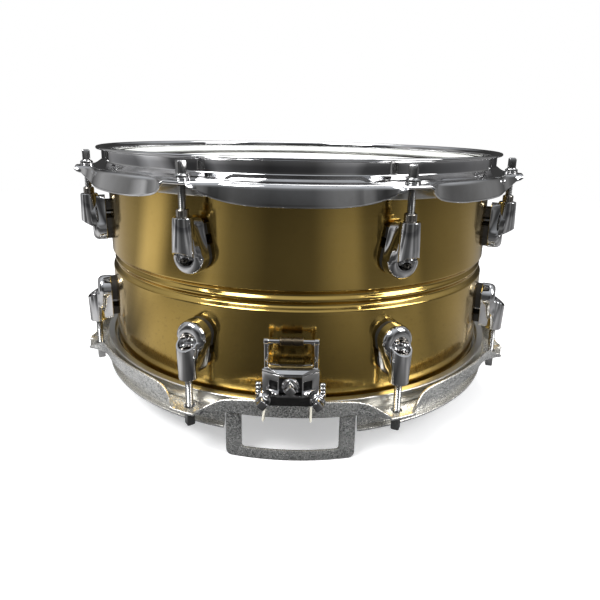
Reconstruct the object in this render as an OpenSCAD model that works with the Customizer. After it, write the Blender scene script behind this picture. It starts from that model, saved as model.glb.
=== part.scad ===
// Snare drum, 14 x 6.5 inch, eight lugs: brass shell, flanged steel hoops, throw-off and snares.
// The origin is on the drum's axis at the underside of the two snare-guard loops it stands on.
// +Z is up along the axis, and the throw-off is at -Y.

/* [Shell] */
// Outside diameter of the shell
shell_dia = 355.6; // [355:0.1:356]
// Depth of the shell from edge to edge
shell_depth = 165.1; // [160:0.1:170]
// Thickness of the brass wall
wall = 1.2; // [1:0.1:1.6]
// Half the height of the rolled centre bead
bead_half = 8.2; // [6:0.1:10]
// Depth of the two grooves of the bead
groove_depth = 3.4; // [2:0.1:4]
// How far the ridge between the grooves lies below the wall
ridge_drop = 1.6; // [0:0.1:2.5]

/* [Stand] */
// Height of the shell's middle above the surface the drum stands on
stand_h = 119; // [115:0.5:122]

/* [Lugs] */
// Number of lugs on each edge
lug_count = 8; // [8]
// Radius of the circle the tension rods stand on
rod_circle = 193.85; // [193.5:0.05:194.2]
// Radius of a tension rod
rod_r = 2.75; // [2.5:0.05:3]
// Size of the square drum-key heads
key_size = 6; // [5.5:0.1:6.5]

/* [Hoops] */
// Thickness of the hoop steel
hoop_t = 2.3; // [2:0.1:2.5]
// Radius of the rolled rim's outer edge
rim_r = 186.3; // [185:0.1:187]
// Height of the rolled rim above the shell's middle
rim_top = 97.5; // [96:0.1:98]
// Radius of the ears' outer edge
ear_r = 203; // [202:0.1:204]

/* [Snare guard] */
// Outside width of a guard loop
loop_w = 95; // [90:1:100]
// Width of a guard loop's leg
leg_w = 12; // [10:0.5:14]
// Height of a guard loop's bottom bar
bar_h = 8; // [6:0.5:9]

/* [Snares] */
// Number of snare strands
strands = 20; // [12:2:24]
// Distance between strands
strand_pitch = 2.1; // [1.8:0.1:2.5]
// Radius of a strand's coil
strand_r = 0.7; // [0.5:0.05:0.9]
// Radius of a snare cord
cord_r = 0.8; // [0.6:0.05:1]

/* [Hidden] */
$fn = 96;
shell_r = shell_dia / 2;
half_h = shell_depth / 2;
lug_step = 360 / lug_count;
lug_angles = [for (i = [0 : lug_count - 1]) (i + 0.5) * lug_step];
eps = 0.01;
run_fit = 0.05;

// Bearing edge: how far the wall turns in, and where the turned-in lip ends
edge_in = 3.4;
lip_r = shell_r - 9.3;
lip_z = half_h - 4.6;

// Heads: film thickness, its skirt outside the shell, and the flesh hoop's section
film_t = 0.3;
film_r = shell_r + 0.6;
flesh_in = 180.3;
flesh_top = 80.5;
flesh_h = 10;

// Counter hoop: middle line of the sheet, from the rim's edge to the free edge of the skirt
collar_r = 180.65;
flange_z = 83.1;
flange_mid_r = 187.6;
flange_mid_z = 80.85;
fold_r = 191.6;
skirt_r = 194.9;
skirt_edge = 67.5;
ear_z = 80.55;
ear_hole_r = 4.2;
ear_half_w = 8;
ear_root_w = 19;

// Lugs: a domed casing that narrows towards the rod, with a barrel along it for the swivel nut
barrel_mouth_r = 8.1;
barrel_end_r = 6.9;
barrel_end_z = 57.5;
barrel_mouth_z = 25;
mouth_z = 30.5;
bowl_r = 6.9;
body_in = 181.5;
dome_out = 192.8;
dome_r = 12;
dome_round = 5;
dome_z = 28.8;
foot_t = 1.5;
foot_end_half = 7.6;
foot_end_z = 53.5;
ridge_out = 189.4;
facet_half = 8;
ridge_mid_half = 5.4;
ridge_mid_z = 50;
body_end_half = 4.4;
body_end_z = 55.5;
nut_r = 4.3;
nut_out_top = 5.6;
nut_out_bottom = 1.2;
nut_in_z = 42;
nut_flange_r = 5.3;
lug_bolt_z = 40.5;
lug_post_r = 3.4;
gasket_inset = 0.6;
gasket_end_z = 51.5;
gasket_gap = 3.6;

// Tension rods
rod_inner_z = 40;
washer_z = ear_z + hoop_t / 2 + 0.05;
washer_t = 1.5;
washer_r = 5.2;
head_flange_r = 5;
head_flange_t = 2;
head_top_z = 94.4;

// Vent
vent_angle = 90;
vent_z = 33;
vent_r = 5;

// Throw-off: distances out from the drum's axis, and heights from the shell's middle
base_out = 180.2;
block_back = 195.5;
block_front = 202.5;
block_half_w = 19.1;
block_flat_half = 7.75;
block_top_back = -37.3;
block_top_front = -41.3;
block_bottom = -58.5;
block_wall = 2.2;
hollow_top = -44.6;
window_size = 6.4;
window_x = 11.5;
window_out = 200.4;
window_z = -50.3;
window_turn = 29.9;
bail_out = 188;
bail_pivot_z = -45;
lever_swing = 50;
bail_cross_z = -24.4;
bail_half_w = 17;
bail_room = 0.6;
bail_r = 1.7;
bail_bend = 4;
eye_r = 2.6;
pin_r = 1.25;
grip_r = 3;
grip_half = 8.1;
tension_z = -51;
screw_tip_out = 209;
clamp_top = -58.8;
clamp_bottom = -65.8;
clamp_in = 198.75;
clamp_out = 200.4;
bridge_t = 1.8;
face_in = 196.4;
face_t = 0.6;
clamp_screw_x = 18.2;
clamp_screw_z = -61.2;
post_x = 21.7;
post_r = 2.2;
post_h = 8;
post_out = 194.6;
guide_x = 6;
guide_r = 2;
guide_out = 188;
guide_top = -48;
mount_screws_z = [-49.5, -60.5];
throw_x = -1.6;
strainer_top = -46;
cheek_in = 9.4;
cheek_out = 13.4;
core_half = 9.2;
core_top = -46.6;

// Butt end
butt_top = -40;
butt_bottom = -64;
butt_half_w = 16;
butt_flat_half = 10;
butt_front = 195.5;
butt_shoulder = 190;
bridge_half_w = 24;

// Snares: levels below the shell's middle
strand_z = -84.4;
plate_out = 158;
plate_len = 12;
plate_half_w = 23;
cord_run_z = -86.35;
cord_way = [[183.6, -86.4], [189, -83.1], [191.75, -82.4], [193.65, -80.4]];
cord_out = 197.85;
cord_lip_z = -66.4;
cord_top = -64;
cord_left_x = -20.6;
cord_right_x = 12.5;
cord_left_top_x = -18.5;

// ---------- helpers ----------

function unit(v) = v / norm(v);
function side(p, i) =
    let (d = unit(p[min(i + 1, len(p) - 1)] - p[max(i - 1, 0)]))
    [-d.y, d.x];
// Outline of a strip of thickness t along a middle line
function ribbon(p, t) = concat(
    [for (i = [0 : len(p) - 1]) p[i] + side(p, i) * t / 2],
    [for (i = [len(p) - 1 : -1 : 0]) p[i] - side(p, i) * t / 2]);
function arc(c, r, a0, a1, n = 6) =
    [for (i = [0 : n]) let (a = a0 + (a1 - a0) * i / n) c + r * [cos(a), sin(a)]];

// Levels are given from the shell's middle; the lower half is a mirror image
module upper() translate([0, 0, stand_h]) children();
module lower() translate([0, 0, stand_h]) mirror([0, 0, 1]) children();
module throw_off() upper() translate([throw_x, 0, 0]) children();
module at_angle(a, r = 0) rotate([0, 0, a]) translate([0, -r, 0]) children();
module at_lugs(r = 0) for (a = lug_angles) at_angle(a, r) children();
// A bar along the line of sight out from the axis: from out0 to out1 at (x, z)
module out_bar(r, out0, out1, x, z)
    translate([x, -out0, z]) rotate([90, 0, 0]) cylinder(r = r, h = out1 - out0);
module out_box(x0, x1, out0, out1, z0, z1)
    translate([x0, -out1, z0]) cube([x1 - x0, out1 - out0, z1 - z0]);
module outside_of(r) difference() {
    children();
    translate([0, 0, -half_h * 2]) cylinder(r = r, h = half_h * 4, $fn = 180);
}
// Drum-key screw that points out of the drum: flange at out0, square head to out1
module key_screw(x, z, out0, out1, flange_r, turn = 0) {
    out_bar(flange_r, out0, out0 + 1.4, x, z);
    out_bar(flange_r - 1.2, out0 + 1.4, out0 + 2.6, x, z);
    translate([x, -out0 - 2.6, z]) rotate([0, turn, 0])
        translate([-key_size / 2, -(out1 - out0 - 2.6), -key_size / 2])
            cube([key_size, out1 - out0 - 2.6 + eps, key_size]);
}

// ---------- shell ----------

function bead(u) = (groove_depth - ridge_drop / 2) / 2 * (1 - cos(360 * u))
    + ridge_drop / 2 * (1 + cos(180 * u));
bead_steps = 24;
bead_out = [for (i = [-bead_steps : bead_steps])
    let (u = i / bead_steps) [shell_r - bead(abs(u)), u * bead_half]];
edge_arc = arc([shell_r - edge_in, half_h - edge_in], edge_in, 0, 125, 7);
function flipped(p) = [for (i = [len(p) - 1 : -1 : 0]) [p[i].x, -p[i].y]];
function reversed(p) = [for (i = [len(p) - 1 : -1 : 0]) p[i]];
edge_outer = concat(edge_arc, [[lip_r, lip_z]]);
edge_inner = concat([[lip_r + wall * 0.7, lip_z - wall * 0.7]],
    arc([shell_r - edge_in, half_h - edge_in], edge_in - wall, 125, 0, 7));
bead_in = [for (p = bead_out) p - [wall, 0]];

module shell() color([0.72, 0.6, 0.32]) {
    upper() difference() {
        rotate_extrude($fn = 180) polygon(concat(
            flipped(edge_outer), bead_out, edge_outer,
            edge_inner, reversed(bead_in), flipped(edge_inner)));
        rotate([0, 0, vent_angle]) out_bar(vent_r + 1, shell_r - 5, shell_r + 5, 0, vent_z);
        for (z = [-lug_bolt_z, lug_bolt_z]) at_lugs() out_bar(2.6, shell_r - 5, shell_r + 5, 0, z);
        for (z = mount_screws_z) {
            out_bar(2.2, shell_r - 5, shell_r + 5, throw_x, z);
            rotate([0, 0, 180]) out_bar(2.2, shell_r - 5, shell_r + 5, 0, z);
        }
    }
}

module vent_grommet() color([0.8, 0.8, 0.8]) upper() rotate([0, 0, vent_angle])
    translate([0, -shell_r, vent_z]) rotate([90, 0, 0]) difference() {
        union() {
            translate([0, 0, 0.4]) cylinder(r = vent_r + 3.5, h = 1.1);
            translate([0, 0, -wall - 1.6]) cylinder(r = vent_r + 1, h = wall + 2.4);
            translate([0, 0, -wall - 1.6]) cylinder(r = vent_r + 2.6, h = 1);
        }
        translate([0, 0, -10]) cylinder(r = vent_r, h = 20);
    }

// ---------- heads ----------

film_path = [[0, half_h + 0.2], [shell_r - 2.2, half_h + 0.2], [shell_r - 0.6, half_h - 0.6],
    [film_r + 0.1, half_h - 2], [film_r + 0.1, half_h - 5], [film_r + 0.6, half_h - 6],
    [flesh_in, half_h - 6.2]];

module film() rotate_extrude($fn = 180) polygon(concat(
    [[0, half_h + 0.05], [0, half_h + 0.05 + film_t]],
    [for (i = [1 : len(film_path) - 1]) film_path[i] + side(film_path, i) * film_t / 2],
    [for (i = [len(film_path) - 1 : -1 : 1]) film_path[i] - side(film_path, i) * film_t / 2]));

module flesh_hoop() rotate_extrude($fn = 180) translate([flesh_in, flesh_top - flesh_h])
    polygon([[0, 0.8], [0.8, 0], [5.4, 0], [6.2, 0.8], [6.2, flesh_h - 1],
        [5.2, flesh_h], [0.8, flesh_h], [0, flesh_h - 0.8]]);

module batter_head() color([0.93, 0.92, 0.88]) upper() film();
module snare_head() color([0.9, 0.92, 0.93, 0.6]) lower() film();
module batter_flesh_hoop() color([0.8, 0.8, 0.82]) upper() flesh_hoop();
module snare_flesh_hoop() color([0.8, 0.8, 0.82]) lower() flesh_hoop();

// ---------- counter hoops ----------

hoop_path = concat(
    [[rim_r - hoop_t / 2, rim_top - hoop_t / 2]],
    arc([collar_r + 2.2, rim_top - hoop_t / 2 - 2.2], 2.2, 90, 180, 4),
    arc([collar_r + 2.6, flange_z + 3.9], 2.6, 180, 250, 4),
    [[flange_mid_r, flange_mid_z]],
    arc([fold_r - 2.4, ear_z - 2.4], 2.4, 75, 12, 4),
    [[skirt_r, skirt_edge]]);

// Half outline of the gap in the skirt at an ear: sideways distance and height of the free edge
scallop = [[ear_half_w, 79], [11.3, 78.2], [17, 74.2], [24, 71.2], [31, 69.5], [41, 68.3],
    [52, skirt_edge - 1]];

module ear_gap() translate([0, -ear_r - 10, 0]) rotate([-90, 0, 0]) linear_extrude(height = 40)
    polygon(concat([for (p = scallop) [p.x, -p.y]],
        [for (i = [len(scallop) - 1 : -1 : 0]) [-scallop[i].x, -scallop[i].y]]));

module hoop_sheet() rotate_extrude($fn = 180)
    polygon(concat(ribbon(hoop_path, hoop_t), arc(hoop_path[0], hoop_t / 2, 72, -72, 4)));

module ear() translate([0, 0, ear_z - hoop_t / 2]) linear_extrude(height = hoop_t)
    polygon([[-ear_root_w, -188.5], [-ear_half_w - 3.5, -197], [-ear_half_w, -ear_r], [ear_half_w, -ear_r],
        [ear_half_w + 3.5, -197], [ear_root_w, -188.5]]);

module hoop() difference() {
    union() {
        difference() {
            hoop_sheet();
            at_lugs() intersection() {
                ear_gap();
                translate([-60, -ear_r - 20, 0]) cube([120, 35, ear_z - hoop_t / 2]);
            }
        }
        at_lugs() ear();
    }
    at_lugs(rod_circle) cylinder(r = ear_hole_r, h = half_h * 2);
}

module batter_hoop() color([0.78, 0.78, 0.8]) upper() hoop();

loop_r = 184;
leg_top = flange_z + 2;
loop_corner = 4;
loop_turn = -0.5;

module loop_outline() difference() {
    union() {
        translate([-loop_w / 2, leg_top]) square([loop_w, stand_h - leg_top - loop_corner]);
        translate([-loop_w / 2 + loop_corner, leg_top])
            square([loop_w - 2 * loop_corner, stand_h - leg_top]);
        for (s = [-1, 1]) translate([s * (loop_w / 2 - loop_corner), stand_h - loop_corner])
            circle(r = loop_corner, $fn = 32);
    }
    translate([-loop_w / 2 + leg_w, leg_top - 1])
        square([loop_w - 2 * leg_w, stand_h - leg_top + 1 - bar_h - 2]);
    translate([-loop_w / 2 + leg_w + 2, leg_top - 1])
        square([loop_w - 2 * leg_w - 4, stand_h - leg_top + 1 - bar_h]);
    for (s = [-1, 1]) translate([s * (loop_w / 2 - leg_w - 2), stand_h - bar_h - 2])
        circle(r = 2, $fn = 32);
}

module guard_loop() intersection() {
    translate([0, 0, leg_top]) difference() {
        cylinder(r = loop_r + hoop_t / 2, h = stand_h - leg_top, $fn = 180);
        translate([0, 0, -1]) cylinder(r = loop_r - hoop_t / 2, h = stand_h - leg_top + 2, $fn = 180);
    }
    rotate([90, 0, 0]) linear_extrude(height = loop_r + 10) loop_outline();
}

module snare_hoop() color([0.72, 0.72, 0.72]) lower() {
    difference() {
        hoop();
        for (a = [0, 180]) rotate([0, 0, a + loop_turn])
            translate([-loop_w / 2 - 1, -rim_r - 5, leg_top]) cube([loop_w + 2, 40, 30]);
    }
}

module guard_loops() color([0.72, 0.72, 0.72]) lower() for (a = [0, 180])
    rotate([0, 0, a + loop_turn]) guard_loop();

// ---------- lugs ----------

module slanted_mouth() translate([0, 0, mouth_z]) rotate([-30, 0, 0]) translate([-15, -15, -30]) cube(30);

// Outlines of the casing seen from outside the drum, below the dome's middle
module mirrored_outline(half) polygon(concat(half, [for (p = reversed(half)) [-p.x, p.y]]));
module foot_outline() mirrored_outline([[dome_r, dome_z], [foot_end_half, foot_end_z],
    [foot_end_half - 2, body_end_z]]);
module ridge_outline() mirrored_outline([[dome_r, dome_z], [ridge_mid_half, ridge_mid_z],
    [body_end_half, body_end_z]]);
// Section of the casing across its length
module lug_section()
    mirrored_outline([[dome_r, -body_in], [dome_r, -ridge_out], [facet_half, -rod_circle]]);

module lug_dome() intersection() {
    translate([0, -body_in, dome_z]) rotate([90, 0, 0]) rotate_extrude() polygon(concat(
        [[0, 0], [dome_r, 0]],
        arc([dome_r - dome_round, dome_out - body_in - dome_round], dome_round, 0, 90, 8),
        [[0, dome_out - body_in]]));
    out_box(-dome_r - 1, dome_r + 1, body_in - 1, dome_out + 1, dome_z - dome_r - 1, dome_z + 1);
}

module lug() difference() {
    union() {
        translate([0, -rod_circle, 0]) difference() {
            translate([0, 0, barrel_mouth_z])
                cylinder(r1 = barrel_mouth_r, r2 = barrel_end_r, h = barrel_end_z - barrel_mouth_z);
            slanted_mouth();
        }
        lug_dome();
        translate([0, -body_in, 0]) rotate([90, 0, 0]) linear_extrude(height = foot_t) foot_outline();
        intersection() {
            translate([0, -body_in, 0]) rotate([90, 0, 0])
                linear_extrude(height = rod_circle - body_in) ridge_outline();
            translate([0, 0, dome_z]) linear_extrude(height = body_end_z - dome_z) lug_section();
        }
        out_bar(lug_post_r, shell_r + 0.6, body_in + 1, 0, lug_bolt_z);
    }
    translate([0, -rod_circle, 0]) {
        translate([0, 0, mouth_z]) {
            sphere(r = bowl_r);
            cylinder(r = nut_flange_r + 0.4, h = nut_in_z - mouth_z + 0.2);
            cylinder(r = nut_r + run_fit, h = 40);
        }
        // the front above the dome starts at the slanting mouth
        intersection() {
            slanted_mouth();
            translate([-15, rod_circle - dome_out - 15 - eps, 0]) cube([30, 15, 40]);
        }
    }
    out_bar(2.1, shell_r - 2, body_in + 5, 0, lug_bolt_z);
}

module top_lugs() color([0.8, 0.8, 0.82]) upper() at_lugs() lug();
module bottom_lugs() color([0.8, 0.8, 0.82]) lower() at_lugs() lug();

module swivel_nut(proud) translate([0, 0, nut_in_z - 3]) difference() {
    union() {
        cylinder(r = nut_flange_r, h = 3);
        cylinder(r = nut_r, h = barrel_end_z + proud - nut_in_z + 3);
    }
    translate([0, 0, -1]) cylinder(r = rod_r + run_fit, h = 60);
}

module top_swivel_nuts() color([0.7, 0.7, 0.72]) upper() at_lugs(rod_circle) swivel_nut(nut_out_top);
module bottom_swivel_nuts() color([0.7, 0.7, 0.72]) lower() at_lugs(rod_circle) swivel_nut(nut_out_bottom);

module lug_gasket() outside_of(shell_r + 0.02) difference() {
    translate([0, -shell_r + 2, 0]) rotate([90, 0, 0]) linear_extrude(height = body_in - shell_r + 2) {
        translate([0, dome_z]) circle(r = dome_r - gasket_inset);
        mirrored_outline([[dome_r - gasket_inset, dome_z], [foot_end_half - gasket_inset, gasket_end_z]]);
    }
    out_box(-dome_r, dome_r, shell_r - 3, body_in + 1, lug_bolt_z - gasket_gap, lug_bolt_z + gasket_gap);
}

module lug_gaskets() color([0.05, 0.05, 0.05]) for (s = [0, 1])
    translate([0, 0, stand_h]) mirror([0, 0, s]) at_lugs() lug_gasket();

module lug_screws() color([0.7, 0.7, 0.72]) for (s = [0, 1])
    translate([0, 0, stand_h]) mirror([0, 0, s]) at_lugs() {
        out_bar(2, shell_r - wall - 1, body_in + 4.5, 0, lug_bolt_z);
        difference() {
            out_bar(5, shell_r - wall - 4.4, shell_r - wall - 0.4, 0, lug_bolt_z);
            out_bar(2.2, shell_r - wall - 5, shell_r - wall - 3, 0, lug_bolt_z);
        }
    }

// ---------- tension rods ----------

module washer() translate([0, 0, washer_z]) difference() {
    cylinder(r = washer_r, h = washer_t);
    translate([0, 0, -1]) cylinder(r = rod_r + run_fit, h = washer_t + 2);
}

module top_washers() color([0.75, 0.75, 0.77]) upper() at_lugs(rod_circle) washer();
module bottom_washers() color([0.75, 0.75, 0.77]) lower() at_lugs(rod_circle) washer();

module tension_rod() {
    head_z = washer_z + washer_t + run_fit;
    translate([0, 0, rod_inner_z]) cylinder(r = rod_r, h = head_z - rod_inner_z + eps);
    translate([0, 0, head_z]) cylinder(r = head_flange_r, h = head_flange_t);
    translate([-key_size / 2, -key_size / 2, head_z + head_flange_t - eps])
        cube([key_size, key_size, head_top_z - head_z - head_flange_t]);
}

module top_rod(i) color([0.8, 0.8, 0.82]) upper() at_angle(lug_angles[i - 1], rod_circle) tension_rod();
module bottom_rod(i) color([0.8, 0.8, 0.82]) lower() at_angle(lug_angles[i - 1], rod_circle) tension_rod();

// ---------- throw-off ----------

module strainer_gasket() color([0.05, 0.05, 0.05]) upper() outside_of(shell_r + 0.02)
    translate([throw_x, 0, 0]) difference() {
    out_box(-15, 15, shell_r - 4, base_out, -66, strainer_top - 0.5);
    for (z = mount_screws_z) out_bar(2.2, shell_r - 5, shell_r + 5, 0, z);
}

module strainer_base() color([0.75, 0.75, 0.77]) throw_off() difference() {
    union() {
        out_box(-14, 14, base_out, base_out + 3, -65, strainer_top);
        for (s = [0, 1]) mirror([s, 0, 0]) {
            out_box(cheek_in, cheek_out, base_out + 3 - eps, bail_out + 2.6,
                bail_pivot_z - 4, bail_pivot_z + 2.5);
            out_box(cheek_in, cheek_out, base_out + 3 - eps, block_back, block_bottom, bail_pivot_z - 3);
        }
    }
    translate([-20, -bail_out, bail_pivot_z]) rotate([0, 90, 0]) cylinder(r = pin_r + run_fit, h = 40);
    for (z = mount_screws_z) out_bar(1.7, base_out - 1, base_out + 4, 0, z);
}

module strainer_core() color([0.04, 0.04, 0.04]) throw_off() difference() {
    union() {
        out_box(-core_half, core_half, base_out + 4.2, block_back + 2.2, block_bottom + 1.2, core_top);
        out_box(-block_half_w + 2.5, block_half_w - 2.5, block_back + 0.2, block_back + 1.2,
            block_bottom + 1.2, core_top);
    }
    out_bar(2.5 + run_fit, base_out, 210, 0, tension_z);
    for (x = [-guide_x, guide_x]) translate([x, -guide_out, clamp_bottom - 5])
        cylinder(r = guide_r + run_fit, h = 40);
}

module block_plan(inset = 0) polygon([
    [-block_half_w + inset, -block_back + inset], [-block_half_w + inset, -block_back - 0.5],
    [-block_flat_half, -block_front + inset * 1.4], [block_flat_half, -block_front + inset * 1.4],
    [block_half_w - inset, -block_back - 0.5], [block_half_w - inset, -block_back + inset]]);

module strainer_block() color([0.78, 0.78, 0.8]) throw_off() difference() {
    translate([0, 0, block_bottom]) linear_extrude(height = block_top_back - block_bottom) block_plan();
    // sloping top
    translate([-30, -block_back, block_top_back])
        rotate([atan2(block_top_back - block_top_front, block_front - block_back), 0, 0])
            translate([0, -40, 0]) cube([60, 40, 20]);
    // hollow inside
    translate([0, 0, block_bottom + 1])
        linear_extrude(height = hollow_top - block_bottom - 1) block_plan(block_wall);
    out_box(-block_half_w + block_wall, block_half_w - block_wall, block_back - 1, block_back + 3,
        block_bottom + 1, core_top + 0.2);
    // front recess, and a window in each slanting face
    out_box(-block_flat_half, block_flat_half, block_back, block_front + 1, block_bottom + 1.6,
        hollow_top);
    for (s = [-1, 1]) translate([s * window_x, -window_out, window_z]) rotate([0, 0, s * window_turn])
        translate([-window_size / 2, -6, -window_size / 2]) cube([window_size, 8, window_size]);
    // room for the bail's arms when it swings forward
    for (s = [-1, 1]) translate([s * bail_half_w - bail_r - bail_room, -bail_out, bail_pivot_z])
        rotate([lever_swing, 0, 0]) translate([0, -bail_r - 0.4, 0])
            cube([2 * (bail_r + bail_room), 20, 30]);
}

module lever_bail() color([0.78, 0.78, 0.8]) throw_off() translate([0, -bail_out, 0]) {
    side_h = bail_cross_z - bail_bend - bail_pivot_z;
    for (s = [-1, 1]) {
        translate([s * bail_half_w, 0, bail_pivot_z + pin_r + 1])
            cylinder(r = bail_r, h = side_h - pin_r - 1);
        translate([s * bail_half_w, 0, bail_pivot_z]) rotate([0, 90, 0]) difference() {
            cylinder(r = eye_r, h = 2 * bail_r, center = true);
            cylinder(r = pin_r + run_fit, h = 10, center = true);
        }
        translate([s * (bail_half_w - bail_bend), 0, bail_cross_z - bail_bend]) rotate([90, 0, 0])
            rotate([0, 0, s > 0 ? 0 : 90]) rotate_extrude(angle = 90) translate([bail_bend, 0])
                circle(r = bail_r, $fn = 32);
    }
    translate([-bail_half_w + bail_bend, 0, bail_cross_z]) rotate([0, 90, 0])
        cylinder(r = bail_r, h = 2 * (bail_half_w - bail_bend));
}

module lever_grip() color([0.2, 0.18, 0.15]) throw_off() translate([-grip_half, -bail_out, bail_cross_z])
    rotate([0, 90, 0]) difference() {
        cylinder(r = grip_r, h = 2 * grip_half);
        translate([0, 0, -1]) cylinder(r = bail_r + run_fit, h = 2 * grip_half + 2);
    }

module lever_pin() color([0.75, 0.75, 0.77]) throw_off()
    translate([-bail_half_w - bail_r, -bail_out, bail_pivot_z]) rotate([0, 90, 0])
        cylinder(r = pin_r, h = 2 * (bail_half_w + bail_r));

module tension_screw() color([0.8, 0.8, 0.82]) throw_off() {
    out_bar(2.5, base_out + 5, 199.4, 0, tension_z);
    key_screw(0, tension_z, 199.3, screw_tip_out, 5.9, 45);
}

module snare_carriage() color([0.6, 0.6, 0.62]) throw_off() difference() {
    union() {
        out_box(-22, 22, guide_out - 4, face_in + face_t, clamp_top - bridge_t, clamp_top);
        out_box(-22, 22, face_in, face_in + face_t, clamp_bottom + 0.2, clamp_top);
        for (s = [0, 1]) mirror([s, 0, 0]) {
            out_box(post_x - post_r, post_x + post_r, guide_out - 4, face_in + face_t,
                clamp_top - bridge_t, clamp_top);
            translate([post_x, -post_out, clamp_top - eps]) for (k = [0 : 2])
                translate([0, 0, k * post_h / 3])
                    cylinder(r1 = post_r, r2 = post_r - 0.5, h = post_h / 3 + eps);
        }
    }
    for (x = [-clamp_screw_x, clamp_screw_x]) out_bar(1.7, face_in - 1, clamp_in, x, clamp_screw_z);
}

module carriage_guides() color([0.75, 0.75, 0.77]) throw_off() for (x = [-guide_x, guide_x])
    translate([x, -guide_out, clamp_top]) cylinder(r = guide_r, h = guide_top - clamp_top);

module clamp_plate() difference() {
    out_box(-22, 22, clamp_in, clamp_out, clamp_bottom, clamp_top);
    for (x = [-clamp_screw_x, clamp_screw_x]) out_bar(2.1, 190, 205, x, clamp_screw_z);
}

module clamp_bar() color([0.04, 0.04, 0.04]) throw_off() clamp_plate();

module clamp_screw_pair(inner_out) for (s = [-1, 1]) {
    out_bar(1.65, inner_out, clamp_out + 0.1, s * clamp_screw_x, clamp_screw_z);
    key_screw(s * clamp_screw_x, clamp_screw_z, clamp_out + run_fit, screw_tip_out, 5.2, s * 40);
}

module clamp_screws() color([0.8, 0.8, 0.82]) throw_off() clamp_screw_pair(face_in + 0.2);

module mounting_screws() for (z = mount_screws_z) {
    out_bar(1.65, shell_r - wall - 0.5, base_out + 2.8, 0, z);
    out_bar(4, shell_r - wall - 3.4, shell_r - wall - 0.4, 0, z);
}

module strainer_screws() color([0.7, 0.7, 0.72]) throw_off() mounting_screws();

// ---------- butt end ----------

module butt_gasket() color([0.05, 0.05, 0.05]) upper() rotate([0, 0, 180])
    outside_of(shell_r + 0.02) difference() {
    out_box(-15, 15, shell_r - 4, base_out, -66, -40);
    for (z = mount_screws_z) out_bar(2.2, shell_r - 5, shell_r + 5, 0, z);
}

module butt_body() color([0.78, 0.78, 0.8]) upper() rotate([0, 0, 180]) difference() {
    union() {
        translate([0, 0, butt_bottom]) linear_extrude(height = butt_top - butt_bottom) polygon([
            [-butt_half_w, -base_out], [-butt_half_w, -butt_shoulder], [-butt_flat_half, -butt_front],
            [butt_flat_half, -butt_front], [butt_half_w, -butt_shoulder], [butt_half_w, -base_out]]);
        out_box(-bridge_half_w, bridge_half_w, butt_shoulder, face_in + face_t,
            clamp_bottom + 0.2, clamp_top);
    }
    for (z = mount_screws_z) out_bar(1.7, base_out - 1, base_out + 4, 0, z);
    for (x = [-clamp_screw_x, clamp_screw_x]) out_bar(1.7, 185, 199, x, clamp_screw_z);
}

module butt_clamp_bar() color([0.04, 0.04, 0.04]) upper() rotate([0, 0, 180]) clamp_plate();
module butt_clamp_screws() color([0.8, 0.8, 0.82]) upper() rotate([0, 0, 180]) clamp_screw_pair(191);
module butt_screws() color([0.7, 0.7, 0.72]) upper() rotate([0, 0, 180]) mounting_screws();

// ---------- snares ----------

module snare_wires() color([0.75, 0.75, 0.77]) upper() for (i = [0 : strands - 1])
    translate([(i - (strands - 1) / 2) * strand_pitch, plate_out + 1, strand_z]) rotate([90, 0, 0])
        cylinder(r = strand_r, h = 2 * plate_out + 2, $fn = 24);

module end_plate() {
    out_box(-plate_half_w, plate_half_w, plate_out, plate_out + plate_len, strand_z - 1.7, strand_z - 0.9);
    out_box(-plate_half_w, plate_half_w, plate_out + 1, plate_out + 5, strand_z - 1, strand_z + 0.9);
}

module front_end_plate() color([0.7, 0.5, 0.35]) upper() end_plate();
module rear_end_plate() color([0.7, 0.5, 0.35]) upper() rotate([0, 0, 180]) end_plate();

// One straight stretch of a cord between two points (x, out, z), with a ball at its end
module cord_stretch(from, to) {
    run = [to.x - from.x, from.y - to.y, to.z - from.z];
    translate([from.x, -from.y, from.z]) rotate([0, acos(run.z / norm(run)), atan2(run.y, run.x)])
        cylinder(r = cord_r, h = norm(run), $fn = 24);
    translate([to.x, -to.y, to.z]) sphere(r = cord_r + run_fit, $fn = 24);
}

// One cord: from the end plate out under the flange, up to the clamp's lower edge,
// and up between the plates
module cord(x, top_x) {
    route = concat([[x, plate_out + plate_len + 0.4, cord_run_z]],
        [for (p = cord_way) [x, p[0], p[1]]],
        [[top_x, cord_out, cord_lip_z], [top_x, cord_out, cord_top]]);
    for (i = [1 : len(route) - 1]) cord_stretch(route[i - 1], route[i]);
}

module front_cords() color([0.9, 0.88, 0.78]) upper() {
    cord(cord_left_x, cord_left_top_x);
    cord(cord_right_x, cord_right_x);
}

module rear_cords() color([0.9, 0.88, 0.78]) upper() rotate([0, 0, 180]) {
    for (s = [-1, 1]) cord(s * cord_right_x, s * cord_right_x);
}

shell();
vent_grommet();
batter_head();
batter_flesh_hoop();
snare_head();
snare_flesh_hoop();
batter_hoop();
snare_hoop();
guard_loops();
top_washers();
bottom_washers();
top_lugs();
bottom_lugs();
top_swivel_nuts();
bottom_swivel_nuts();
lug_gaskets();
lug_screws();
strainer_gasket();
strainer_base();
strainer_core();
strainer_block();
lever_bail();
lever_grip();
lever_pin();
tension_screw();
snare_carriage();
carriage_guides();
clamp_bar();
clamp_screws();
strainer_screws();
butt_gasket();
butt_body();
butt_clamp_bar();
butt_clamp_screws();
butt_screws();
snare_wires();
front_end_plate();
rear_end_plate();
front_cords();
rear_cords();
for (i = [1 : lug_count]) top_rod(i);
for (i = [1 : lug_count]) bottom_rod(i);
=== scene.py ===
"""Looks for the snare drum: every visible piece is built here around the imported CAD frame.

Shapes are made in millimetres in a drum-side frame: x runs to the right along the shell, out is the
distance from the drum's axis and z is the level above the shell's middle. build() turns them into metres.
"""
import math

import bmesh
import bpy
import numpy as np
from mathutils import Matrix, Vector

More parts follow.
